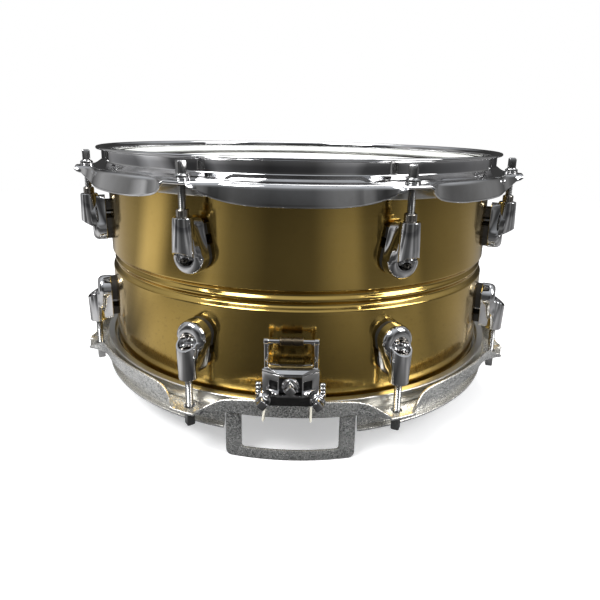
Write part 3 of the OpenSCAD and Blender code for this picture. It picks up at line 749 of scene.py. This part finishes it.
def rod_shape(thread_from, thread_to):
    """A tension rod standing on the origin's axis: threads, smooth shank, flange and square head."""
    sides = 28
    rings = []

    def ring(z, depth=0.0, r=ROD_R):
        phase = z / PITCH
        made = []
        for k in range(sides):
            tooth = abs(((phase - k / sides) % 1.0) - 0.5) * 2
            rr = r - depth * (1 - min(1.0, tooth * 1.25))
            a = 2 * math.pi * k / sides
            made.append((rr * math.sin(a), -rr * math.cos(a), z))
        return made

    rings.append(ring(thread_from - 1, r=ROD_R - 0.65))
    for z in np.arange(thread_from, thread_to, PITCH / 7):
        rings.append(ring(z, 0.62 * min(1.0, (thread_to - z) / 1.5)))
    for z in (thread_to, HEAD_Z + 0.3):
        rings.append(ring(z, r=ROD_R - 0.03))
    shank = loft(rings)
    z0 = HEAD_Z
    flange = lathe([(0, z0), (4.6, z0), (5.0, z0 + 0.35), (5.0, z0 + 1.3), (4.6, z0 + 1.75), (3.9, z0 + 2.1),
                    (3.6, z0 + 2.6), (0, z0 + 2.6)], 40)
    half = KEY / 2
    levels = [(half - 0.05, z0 + 1.5), (half, z0 + 2.2), (half, HEAD_TOP - 1.0), (half - 0.35, HEAD_TOP - 0.35),
              (half - 1.2, HEAD_TOP)]
    head = grid([square_ring(h, z) for h, z in levels], wrap=False, caps=True)
    return shank + flange + head


def washer_shape():
    z0, z1 = EAR_Z + HOOP_T / 2 + 0.05, EAR_Z + HOOP_T / 2 + 1.55
    return lathe(rounded([(ROD_R + 0.1, z0), (5.2, z0), (5.2, z1), (ROD_R + 0.1, z1)], 0.35, 3), 40)


def nut_shape(proud):
    end = 57.5 + proud
    outline = [(ROD_R + 0.08, 39.2), (5.2, 39.2), (5.2, 41.8), (4.28, 42.2), (4.28, end - 0.9),
               (3.9, end - 0.3), (3.5, end), (ROD_R + 0.08, end - 0.1)]
    return lathe(outline, 36)


for level, is_lower, proud in (("top", False, 5.6), ("bottom", True, 1.2)):
    washers = washer_shape().moved(out=ROD_CIRCLE)
    build(f"{level}_washer_set", around(washers, LUG_ANGLES, is_lower), CHROME, nodes=[f"{level}_washers"])
    nuts = nut_shape(proud).moved(out=ROD_CIRCLE)
    build(f"{level}_nut_set", around(nuts, LUG_ANGLES, is_lower), NUT, nodes=[f"{level}_swivel_nuts"])
    rod = rod_shape(56.0, 80.0)
    for index, angle in enumerate(LUG_ANGLES, 1):
        # each head ends up turned its own way
        turn = math.radians(8 + 37 * index)
        x, out, z = rod.verts.T
        verts = np.stack([x * math.cos(turn) - out * math.sin(turn),
                          x * math.sin(turn) + out * math.cos(turn) + ROD_CIRCLE, z], 1)
        node = f"{level}_rod_{index}"
        build(f"{node}_steel", around(Shape(verts, rod.faces), [angle], is_lower), ROD, body=node,
              nodes=[node])


# ---------------------------------------------------------------- lugs

BARREL_R, END_R = 8.1, 6.9
BARREL_LOW, END_Z = 24.0, 57.5
MOUTH_Z, MOUTH_SLOPE = 30.5, 0.577      # level of the mouth on the barrel's axis, and its slant
BODY_IN, DOME_OUT, DOME_R, DOME_ROUND = 181.5, 192.8, 12.0, 5.0
DOME_Z = 28.8
BOWL_R = 6.9
RIDGE_OUT = 189.4
FACET_HALF = 8.0
FOOT_END = 7.6
BODY_END_Z = 55.5
POST_Z, POST_R = 40.5, 3.2


def dome_front(r):
    """How far out the dome's front lies at a distance from the dome's middle."""
    over = min(max(r - DOME_R + DOME_ROUND, 0.0), DOME_ROUND)
    return DOME_OUT - DOME_ROUND + math.sqrt(DOME_ROUND ** 2 - over ** 2)


def casing_section(z):
    """Half a section across the casing at a level, as (x, out) from the shell's side to its front."""
    below = min(z - DOME_Z, 0.0)
    wide = math.sqrt(DOME_R ** 2 - below ** 2)
    foot = float(np.interp(z, [DOME_Z, 53.5, BODY_END_Z], [wide, FOOT_END, 6.0]))
    ridge = float(np.interp(z, [DOME_Z, 50.0, BODY_END_Z], [wide, 5.4, 4.4]))
    front = float(np.interp(z, [29.9, 30.6], [DOME_OUT, ROD_CIRCLE]))
    flat = min(FACET_HALF, ridge)
    scoop = 0.9 * max(0.0, math.sin(math.pi * min(1.0, max(0.0, (z - 31.5) / 21.5)))) ** 0.7
    # the ridge is as round as the dome's front up to the dome's middle, and sharp soon above it
    soft = float(np.interp(z, [DOME_Z, 30.6], [1.0, 0.0]))
    top = RIDGE_OUT + (dome_front(DOME_R) - RIDGE_OUT) * soft
    points = [(max(foot - 0.25, 0.1), BODY_IN), (foot, BODY_IN + 0.3)]
    for k in range(1, 12):
        u = k / 12
        points.append((foot + (ridge - foot) * u - scoop * math.sin(math.pi * u) ** 0.8,
                       BODY_IN + 0.3 + (top - BODY_IN - 0.3) * u))
    for k in range(13):
        round_x = wide * math.cos(math.pi / 2 * k / 12.5)
        round_out = dome_front(math.hypot(round_x, below))
        if k < 7:
            sharp = (ridge + (flat - ridge) * k / 6, RIDGE_OUT + (front - RIDGE_OUT) * k / 6)
        else:
            sharp = (flat * (13 - k) / 7, front)
        points.append((sharp[0] * (1 - soft) + round_x * soft, sharp[1] * (1 - soft) + round_out * soft))
    return points


def casing_shape():
    """The casing from its round end to the rod's end, as sections by level."""
    levels = [DOME_Z - DOME_R * math.cos(a) for a in np.radians([3, 9, 16, 24, 33, 43, 53, 63, 73, 82, 90])]
    levels += [29.2, 29.9, 30.6, 31.5] + list(np.linspace(32.6, 54.9, 20)) + [BODY_END_Z]
    rings = []
    for z in levels:
        shrink = 0.9 if z == BODY_END_Z else 1.0
        half = [(x * shrink, out, z) for x, out in casing_section(z)]
        rings.append(half + [(-x, out, z) for x, out, _ in half[::-1]])
    return loft(rings)


def barrel_shape():
    """The solid barrel, cut off by its slanting mouth."""
    outline = [(0, BARREL_LOW), (BARREL_R, BARREL_LOW), (END_R + 0.1, END_Z - 1.0), (END_R - 0.1, END_Z - 0.3),
               (END_R - 0.5, END_Z), (0, END_Z)]

    def mouth(out):
        return MOUTH_Z + MOUTH_SLOPE * (out - ROD_CIRCLE)

    plan = [(-15, ROD_CIRCLE - 12), (15, ROD_CIRCLE - 12), (15, ROD_CIRCLE + 12), (-15, ROD_CIRCLE + 12)]
    return carve([lathe(outline, 56, 0, ROD_CIRCLE)], [prism(plan, 0, mouth)])


def bowl_shape():
    """The room for the swivel nut: a round bowl in the mouth, then a bore."""
    ball = [(BOWL_R * math.cos(a), MOUTH_Z + 0.2 + BOWL_R * math.sin(a)) for a in
            np.linspace(-math.pi / 2, 0.62, 17)]
    ball[0] = (0, MOUTH_Z + 0.2 - BOWL_R)
    bore = [(5.5, 36), (5.5, 42.2), (4.4, 42.6), (4.4, END_Z - 0.5), (4.7, 70), (0, 70)]
    return lathe(ball + bore, 48, 0, ROD_CIRCLE)


def lug_shape():
    return carve([casing_shape(), barrel_shape()], [bowl_shape()], 0.3)


def post_shape():
    outline = [(0, SHELL_R - 0.2), (POST_R, SHELL_R - 0.2), (POST_R, BODY_IN + 1), (0, BODY_IN + 1)]
    return lathe_out(outline, 28, 0, POST_Z)


def pad_shape():
    """The rubber under the casing follows its outline, with a gap at the post."""
    inset, gap, end = 0.6, 3.6, 51.5
    r = DOME_R - inset

    def half_width(z):
        if z < DOME_Z:
            return math.sqrt(max(r * r - (DOME_Z - z) ** 2, 0.04))
        return float(np.interp(z, [DOME_Z, 53.5], [r, FOOT_END - inset]))

    pads = []
    for low, high in ((DOME_Z - r, POST_Z - gap), (POST_Z + gap, end)):
        levels = low + (high - low) * (1 - np.cos(np.linspace(0, math.pi, 22))) / 2
        rings = []
        for z in levels:
            w = half_width(z)
            xs = np.linspace(-w, w, 9)
            rings.append([(x, math.sqrt(SHELL_R ** 2 - x * x) + 0.03, z) for x in xs]
                         + [(w, BODY_IN + 0.05, z), (-w, BODY_IN + 0.05, z)])
        pads.append(loft(rings))
    return total(pads)


lug = lug_shape() + post_shape()
for level, is_lower in (("top", False), ("bottom", True)):
    build(f"{level}_lug_castings", around(lug, LUG_ANGLES, is_lower), CHROME, nodes=[f"{level}_lugs"],
          crease=34)
pads = around(pad_shape(), LUG_ANGLES) + around(pad_shape(), LUG_ANGLES, lower=True)
build("lug_pads", pads, RUBBER, nodes=["lug_gaskets"])


# ---------------------------------------------------------------- throw-off and butt end

def key_screw_shape(x, z, out0, out1, flange_r, turn):
    """A square-head screw that points out of the drum."""
    cup = flange_r - 1.1
    outline = [(0, out0), (flange_r - 0.3, out0), (flange_r, out0 + 0.3), (flange_r, out0 + 1.1),
               (flange_r - 0.35, out0 + 1.45), (cup + 0.35, out0 + 1.6), (cup, out0 + 1.95),
               (cup - 0.2, out0 + 2.6), (cup - 0.9, out0 + 3.0), (0, out0 + 3.0)]
    disc = lathe_out(outline, 48, x, z)
    half = KEY / 2
    rings = []
    for h, out in ((half - 0.05, out0 + 1.5), (half, out0 + 2.6), (half, out1 - 0.9), (half - 0.3, out1 - 0.3),
                   (half - 1.0, out1)):
        c, s = math.cos(math.radians(turn)), math.sin(math.radians(turn))
        ring = rounded(rectangle(h, h), 0.7, 3)
        rings.append([(x + u * c - v * s, out, z + u * s + v * c) for u, v in ring])
    return disc + loft(rings)


THROW_X = -1.6          # the throw-off's middle
BLOCK_BACK, BLOCK_FRONT = 195.5, 202.5
BLOCK_HALF, FLAT_HALF = 19.1, 7.75
TOP_BACK, TOP_FRONT = -37.3, -41.3
BLOCK_LOW = -58.5
SWING = math.radians(50)
PIVOT_Z, CROSS_Z = -45.0, -24.4
BAIL_OUT = 188.0
ARM_X = 17.0
# Each window's place, half its height (the sill's half width too), level and turn in degrees
WINDOW_X, WINDOW_OUT, WINDOW_HALF = 11.5, 200.4, 3.2
WINDOW_Z, WINDOW_TURN = -50.3, 29.9


def block_plan(inset=0.0, back=BLOCK_BACK):
    shoulder, front = BLOCK_BACK + 0.6, BLOCK_FRONT - inset * 1.4
    half, flat = BLOCK_HALF - inset, FLAT_HALF - inset * 0.4
    return [(-half, back), (-half, shoulder), (-flat, front), (flat, front), (half, shoulder), (half, back)]


def top_level(out):
    return TOP_BACK + (TOP_FRONT - TOP_BACK) * (out - BLOCK_BACK) / (BLOCK_FRONT - BLOCK_BACK)


def window_point(side, across, depth):
    """A point (x, out) on a slanting face, across it and in from it, as seen from the window's middle."""
    c, s = math.cos(math.radians(-side * WINDOW_TURN)), math.sin(math.radians(-side * WINDOW_TURN))
    return side * WINDOW_X + across * c - depth * s, WINDOW_OUT + across * s + depth * c


def strainer_block_shape():
    """Hollow block with a slanting face on each side, a grooved top edge, a recess and two windows."""
    groove = TOP_FRONT - 1.3
    body = prism(block_plan(), BLOCK_LOW, groove)
    neck = prism(block_plan(0.7, BLOCK_BACK + 0.4), groove - 0.2, groove + 0.7)
    cap = prism(block_plan(), groove + 0.55, top_level)
    recess = FLAT_HALF - 0.2
    cuts = [prism(block_plan(2.0, BLOCK_BACK - 1), BLOCK_LOW + 1.2, -44.4),
            prism([(-recess, 190), (-recess, 210), (recess, 210), (recess, 190)], BLOCK_LOW + 1.5, -43.6)]

    def arm_room(out):
        return PIVOT_Z + (out - BAIL_OUT) / math.tan(SWING) - 2.1 / math.sin(SWING)

    for side in (-1, 1):
        plan = [window_point(side, u, v) for u, v in rectangle(3.4, 4.0)]
        cuts.append(prism(plan, WINDOW_Z - WINDOW_HALF, WINDOW_Z + WINDOW_HALF))
        # room for the bail's arm when it swings forward
        a, b = side * ARM_X - 2.3, side * ARM_X + 2.3
        cuts.append(prism([(a, 190), (a, 206), (b, 206), (b, 190)], arm_room, -20))
    # the top's back edge is scalloped
    scoop = [(60 * math.sin(a), BLOCK_BACK - 58.8 + 60 * math.cos(a)) for a in np.linspace(-0.22, 0.22, 19)]
    cuts.append(prism([(-13.1, 180)] + scoop + [(13.1, 180)], -60, -30))
    return carve([body, neck, cap], cuts, 0.3)


def window_sill_shape():
    """A slope under each window, from the window's lower edge out to the block's foot."""
    section = [(-3.0, -53.2), (-0.9, -53.6), (-0.25, -54.4), (-0.25, -55.2), (-3.0, -55.2)]
    across = np.linspace(-WINDOW_HALF, WINDOW_HALF, 7)
    return total(loft([[(*window_point(side, u, v), z) for v, z in section] for u in across])
                 for side in (-1, 1))


def strainer_inside():
    core = block(-9.2, 9.2, 184.4, 197.6, -57.2, -46.7, 0.3)
    sheet = block(-16.4, 16.4, 195.8, 196.7, -57.2, -46.7, 0.2)
    return core + sheet


def bail_shape():
    """The lever: two arms with an eye at the pivot and a round boss at the crossbar."""
    parts = []
    for side in (-1, 1):
        x = side * ARM_X
        stations = []
        for t in np.linspace(0, 1, 12):
            z = PIVOT_Z + 1.5 + (CROSS_Z - PIVOT_Z - 1.5) * t
            width = 1.35 + 0.3 * t * t
            stations.append([(x + u * width, BAIL_OUT + v * 1.55, z) for u, v in
                             rounded(rectangle(1, 1), 0.55, 4)])
        parts.append(loft(stations))
        for bore, half, r, z in ((0, 1.7, 2.35, CROSS_Z), (1.3, 1.6, 2.55, PIVOT_Z)):
            end = [(bore, half), (r - 0.35, half), (r, 1.2)]
            outline = [(q, x - u) for q, u in end] + [(q, x + u) for q, u in end[::-1]]
            parts.append(lathe_x(outline, 32, BAIL_OUT, z))
        # the web in the corner between arm and crossbar
        web = [(0.5, -4.6), (1.6, -3.0), (2.6, -2.0), (4.4, -1.2), (4.4, 0.6), (0.5, 0.6)]
        parts.append(loft([[(x - side * u, out, CROSS_Z + v) for u, v in web]
                           for out in (BAIL_OUT - 1, BAIL_OUT + 1)]))
    bar = [(0, -ARM_X), (1.55, -ARM_X), (1.55, ARM_X), (0, ARM_X)]
    parts.append(lathe_x(bar, 28, BAIL_OUT, CROSS_Z))
    return total(parts)


def grip_shape():
    """Knurled sleeve: two crossing sets of grooves."""
    half, radius, bore = 8.1, 2.95, 1.62
    sides, steps = 72, 84
    rings = []
    for i in range(steps + 1):
        x = -half + 2 * half * i / steps
        edge = min(1.0, (half - abs(x)) / 0.7)
        ring = []
        for a in turns(sides):
            cut = abs(math.sin(9 * a + x * 3.0)) * abs(math.sin(9 * a - x * 3.0))
            r = radius - 0.45 * (1 - edge) - 0.24 * edge * (1 - cut) ** 2
            ring.append((x, BAIL_OUT + r * math.cos(a), CROSS_Z + r * math.sin(a)))
        rings.append(ring)
    for x in (half, -half):
        rings.append([(x, BAIL_OUT + bore * math.cos(a), CROSS_Z + bore * math.sin(a)) for a in turns(sides)])
    return grid(rings)


CLAMP_LOW, CLAMP_TOP = -65.8, -58.8
CLAMP_X, CLAMP_Z = 18.2, -61.2
CLAMP_IN, CLAMP_OUT = 198.75, 200.4
FACE_OUT = 197.0
SCREW_TIP = 209
POST_X, POST_OUT, POST_HALF = 21.7, 194.6, 2.2


def carriage_shape():
    """A thin bridge behind the block with a front plate and two ribbed posts."""
    bridge = block(-21, 21, 184.2, FACE_OUT - 0.1, CLAMP_TOP - 1.7, CLAMP_TOP - 0.05, 0.3)
    face = block(-21.9, 21.9, FACE_OUT - 0.6, FACE_OUT, CLAMP_LOW + 0.2, CLAMP_TOP - 0.1, 0.15)
    parts = [bridge, face]
    for side in (-1, 1):
        x0, x1 = sorted((side * (POST_X - POST_HALF), side * (POST_X + POST_HALF)))
        parts.append(block(x0, x1, 184.2, FACE_OUT, CLAMP_TOP - 1.75, CLAMP_TOP, 0.5))
        ribs = []
        for k in range(3):
            base = CLAMP_TOP - 0.2 + k * 2.7
            ribs += [(1.5, base), (2.1, base + 0.4), (2.2, base + 1.3), (2.05, base + 1.9), (1.5, base + 2.4)]
        outline = [(0, CLAMP_TOP - 0.3)] + ribs + [(1.1, CLAMP_TOP + 7.9), (0, CLAMP_TOP + 7.95)]
        parts.append(lathe(outline, 36, side * POST_X, POST_OUT))
    return total(parts)


def clamp_bar_shape():
    return block(-21.8, 21.8, CLAMP_IN + 0.05, CLAMP_OUT - 0.05, CLAMP_LOW, CLAMP_TOP, 0.4)


def clamp_screws_shape():
    return total(key_screw_shape(side * CLAMP_X, CLAMP_Z, CLAMP_OUT + 0.05, SCREW_TIP, 5.2, side * 40)
                 for side in (-1, 1))


def butt_shape():
    plan = rounded([(-16, 180.3), (-16, 190), (-10, 195.5), (10, 195.5), (16, 190), (16, 180.3)], 1.0, 3)
    return prism(plan, -64, -40)


def butt_bridge_shape():
    return block(-24, 24, 190, FACE_OUT, CLAMP_LOW + 0.2, CLAMP_TOP, 0.6)


TENSION_Z, TENSION_OUT = -51, 199.3
tension_screw = key_screw_shape(0, TENSION_Z, TENSION_OUT, SCREW_TIP, 5.8, 45)
casting = strainer_block_shape() + window_sill_shape()
# name, shape, material, body, CAD node, slot and crease of each throw-off piece
for name, shape, material, body, node, slot, crease in (
        ("strainer_casting", casting, CHROME, "drum", "strainer_block", "chrome", 30),
        ("strainer_inner", strainer_inside(), BLACK, "drum", "strainer_core", "black_metal", 32),
        ("bail", bail_shape(), CHROME, "lever", "lever_bail", "chrome", 32),
        ("bail_grip", grip_shape(), KNURL, "grip", "lever_grip", "knurled_metal", 60),
        ("tension_key_screw", tension_screw, CHROME, "tension", "tension_screw", "chrome", 32),
        ("carriage_casting", carriage_shape(), CHROME, "carriage", "snare_carriage", "chrome", 32),
        ("clamp_bar_black", clamp_bar_shape(), BLACK, "carriage", "clamp_bar", "black_metal", 32),
        ("clamp_key_screws", clamp_screws_shape(), CHROME, "carriage", "clamp_screws", "chrome", 32)):
    build(name, around(shape.moved(x=THROW_X)), material, body=body, nodes=[node], crease=crease)

build("butt_clamp_bar_black", around(clamp_bar_shape(), [180]), BLACK, nodes=["butt_clamp_bar"])
build("butt_key_screws", around(clamp_screws_shape(), [180]), CHROME, nodes=["butt_clamp_screws"])
build("butt_casting", around(butt_shape() + butt_bridge_shape(), [180]), CHROME, nodes=["butt_body"],
      bevel=0.6)


# ---------------------------------------------------------------- snares and cords

STRAND_Z = -84.4
STRANDS, STRAND_PITCH = 20, 2.1
PLATE_OUT, PLATE_LEN, PLATE_HALF = 158.0, 12.0, 23.0


def strand_shape():
    """One coiled snare wire along out, from one plate to the other."""
    turn_len, per_turn, sides = 1.5, 7, 4
    count = int(2 * PLATE_OUT / turn_len * per_turn)
    rings = []
    for i in range(count + 1):
        a = 2 * math.pi * i / per_turn
        out = -PLATE_OUT + 2 * PLATE_OUT * i / count
        ring = []
        for b in turns(sides):
            r = 0.5 + 0.19 * math.cos(b)
            ring.append((r * math.cos(a), out + 0.19 * math.sin(b), STRAND_Z + r * math.sin(a)))
        rings.append(ring)
    return loft(rings)


strand = strand_shape()
wires = total(strand.moved(x=(i - (STRANDS - 1) / 2) * STRAND_PITCH) for i in range(STRANDS))
build("snare_coils", around(wires), WIRE, body="snares", nodes=["snare_wires"])


def end_plate_shape():
    base = block(-PLATE_HALF, PLATE_HALF, PLATE_OUT, PLATE_OUT + PLATE_LEN, STRAND_Z - 1.7, STRAND_Z - 0.9, 0.3)
    bar = block(-PLATE_HALF, PLATE_HALF, PLATE_OUT + 1, PLATE_OUT + 5, STRAND_Z - 1.0, STRAND_Z + 0.9, 0.4)
    return base + bar


for end, angle in (("front", 0), ("rear", 180)):
    build(f"{end}_plate", around(end_plate_shape(), [angle]), COPPER, body="snares", nodes=[f"{end}_end_plate"])

CORD_R = 0.8
# The way of a cord as (out, z): under the flange, over its edge and up between the clamp's plates
CORD_WAY = [(PLATE_OUT + PLATE_LEN + 0.4, -86.35), (183.6, -86.4), (189.0, -83.1), (191.75, -82.4),
            (193.65, -80.4), (197.85, -66.4), (197.85, -64.0)]
CORD_FREE_Z, CORD_LIP_Z = -80.4, -66.4      # a cord leans sideways between these levels
CORD_X = 12.5


def cord_shape(x, top_x):
    points = []
    for (out0, z0), (out1, z1) in zip(CORD_WAY, CORD_WAY[1:]):
        steps = max(1, round(math.hypot(out1 - out0, z1 - z0)))
        points += [(out0 + (out1 - out0) * k / steps, z0 + (z1 - z0) * k / steps) for k in range(steps)]
    points.append(CORD_WAY[-1])
    span = CORD_LIP_Z - CORD_FREE_Z
    way = [(x + (top_x - x) * min(1.0, max(0.0, (z - CORD_FREE_Z) / span)), out, z) for out, z in points]
    return tube(way, CORD_R, 14, lambda u, a: 0.93 + 0.07 * math.cos(3 * a - u * 2.6))


front_cords = cord_shape(-20.6, -18.5) + cord_shape(CORD_X, CORD_X)
rear_cords = cord_shape(-CORD_X, -CORD_X) + cord_shape(CORD_X, CORD_X)
build("front_cord_pair", around(front_cords), CORD, body="carriage", nodes=["front_cords"])
build("rear_cord_pair", around(rear_cords, [180]), CORD, nodes=["rear_cords"])


# ---------------------------------------------------------------- CAD pieces that stay

for node, material in {"lug_screws": PLAIN, "strainer_gasket": RUBBER, "strainer_base": PLAIN,
                       "lever_pin": PLAIN, "carriage_guides": PLAIN, "strainer_screws": PLAIN,
                       "butt_gasket": RUBBER, "butt_screws": PLAIN}.items():
    slots = frame["nodes"][node].data.materials
    slots.clear()
    slots.append(material)


# ---------------------------------------------------------------- floor, light and camera

# Brightness of the studio by the degrees round the drum: soft strip lights between dark flags
STUDIO = [(-180, 0.04), (-138, 0.05), (-122, 0.34), (-108, 0.26), (-94, 0.18), (-84, 0.48), (-76, 0.42),
          (-67, 0.06), (-48, 0.045), (-42, 0.2), (-33, 0.09), (-14, 0.035), (8, 0.05), (20, 0.15),
          (28, 0.17), (34, 0.07), (50, 0.06), (58, 0.15), (65, 0.06), (94, 0.13), (110, 0.2), (123, 0.19),
          (138, 0.05), (180, 0.04)]
NEAR_FLOOR = [(-180, 0.25), (-128, 0.3), (-100, 0.26), (-88, 0.06), (-80, 0.08), (-67, 0.48), (-44, 0.4),
              (-30, 0.1), (-18, 0.05), (0, 0.025), (14, 0.06), (36, 0.1), (46, 0.24), (62, 0.13), (88, 0.3),
              (104, 0.26), (120, 0.12), (136, 0.26), (180, 0.25)]


def stage_floor():
    mesh = bpy.data.meshes.new("studio_floor")
    size = 30.0
    mesh.from_pydata([(x, y, 0) for x, y in rectangle(size, size)], [], [(0, 1, 2, 3)])
    floor = bpy.data.objects.new("studio_floor", mesh)
    bpy.context.scene.collection.objects.link(floor)
    m = Nodes("floor_paper")
    grain = m.noise(m.position(), 3, 3, 0.5)
    x, y, _ = m.split(m.position())
    radius = m.radius(x, y)
    turn = m.azimuth(x, y)
    mirrored = m.mix(m.ramp(radius, 0.26, 0.62), m.stops(turn, NEAR_FLOOR), m.stops(turn, STUDIO))
    path = m.node("ShaderNodeLightPath").outputs
    pale = m.mix(grain, rgb(0.90, 0.90, 0.90), rgb(0.88, 0.88, 0.88))
    # seen from the camera the paper fades to the backdrop's white
    far = m.ramp(radius, 0.35, 1.6)
    seen = m.mix(m.math("MULTIPLY", path["Is Camera Ray"], far), pale, rgb(0, 0, 0))
    m.put(m.shader.inputs["Emission Color"], rgb(1, 1, 1))
    m.put(m.shader.inputs["Emission Strength"],
          m.math("MULTIPLY", path["Is Camera Ray"], m.ramp(far, 0.0, 1.0, 0.35, 1.0)))
    mesh.materials.append(m.set(Base_Color=m.mix(path["Is Glossy Ray"], seen, mirrored), Roughness=0.95,
                                Specular_IOR_Level=0.0))


def area_light(name, place, size, power):
    data = bpy.data.lights.new(name, "AREA")
    data.shape = "RECTANGLE"
    data.size, data.size_y = size
    data.energy = power
    lamp = bpy.data.objects.new(name, data)
    lamp.location = place
    lamp.rotation_euler = (Vector((0, 0, 0.1)) - Vector(place)).to_track_quat("-Z", "Y").to_euler()
    bpy.context.scene.collection.objects.link(lamp)


def camera():
    """The camera stands in front of the throw-off, about half a metre from the drum's axis."""
    distance, height = 500.37, 115.56
    round_by, yaw, pitch, roll = (math.radians(v) for v in (0.37, 0.09, -13.76, 1.12))
    data = bpy.data.cameras.new("camera")
    data.sensor_width = 36.0
    data.lens = 29.99
    data.shift_x, data.shift_y = 0.0029, -0.0834
    data.clip_start, data.clip_end = 0.01, 100.0
    forward = Vector((math.sin(yaw) * math.cos(pitch), math.cos(yaw) * math.cos(pitch), math.sin(pitch)))
    right = Vector((math.cos(yaw), -math.sin(yaw), 0))
    up = right.cross(forward)
    side = math.cos(roll) * right + math.sin(roll) * up
    top = -math.sin(roll) * right + math.cos(roll) * up
    spin = Matrix.Rotation(round_by, 4, "Z")
    pose = Matrix((side, top, -forward)).transposed().to_4x4()
    pose.translation = Vector((0, -distance, height + MID)) * MM
    obj = bpy.data.objects.new("camera", data)
    obj.matrix_world = spin @ pose
    bpy.context.scene.collection.objects.link(obj)
    bpy.context.scene.camera = obj


def world():
    w = Nodes("studio", bpy.data.worlds, "Background")
    bpy.context.scene.world = w.material
    x, y, z = w.split(w.node("ShaderNodeTexCoord").outputs["Generated"])
    ceiling = w.mix(w.ramp(z, 0.32, 0.8), w.stops(w.azimuth(x, y), STUDIO), rgb(0.55, 0.57, 0.6))
    path = w.node("ShaderNodeLightPath").outputs
    seen = w.mix(path["Is Diffuse Ray"], ceiling, rgb(0.7, 0.7, 0.72))
    w.put(w.shader.inputs["Color"], w.mix(path["Is Camera Ray"], seen, rgb(1, 1, 1)))
    bpy.context.scene.view_settings.view_transform = "Standard"


stage_floor()
area_light("key", (-0.9, -0.9, 1.5), (0.9, 0.6), 22)
area_light("fill", (1.2, -0.6, 1.0), (0.7, 0.9), 12)
area_light("top", (0.1, 0.5, 1.8), (1.2, 0.8), 20)
camera()
world()
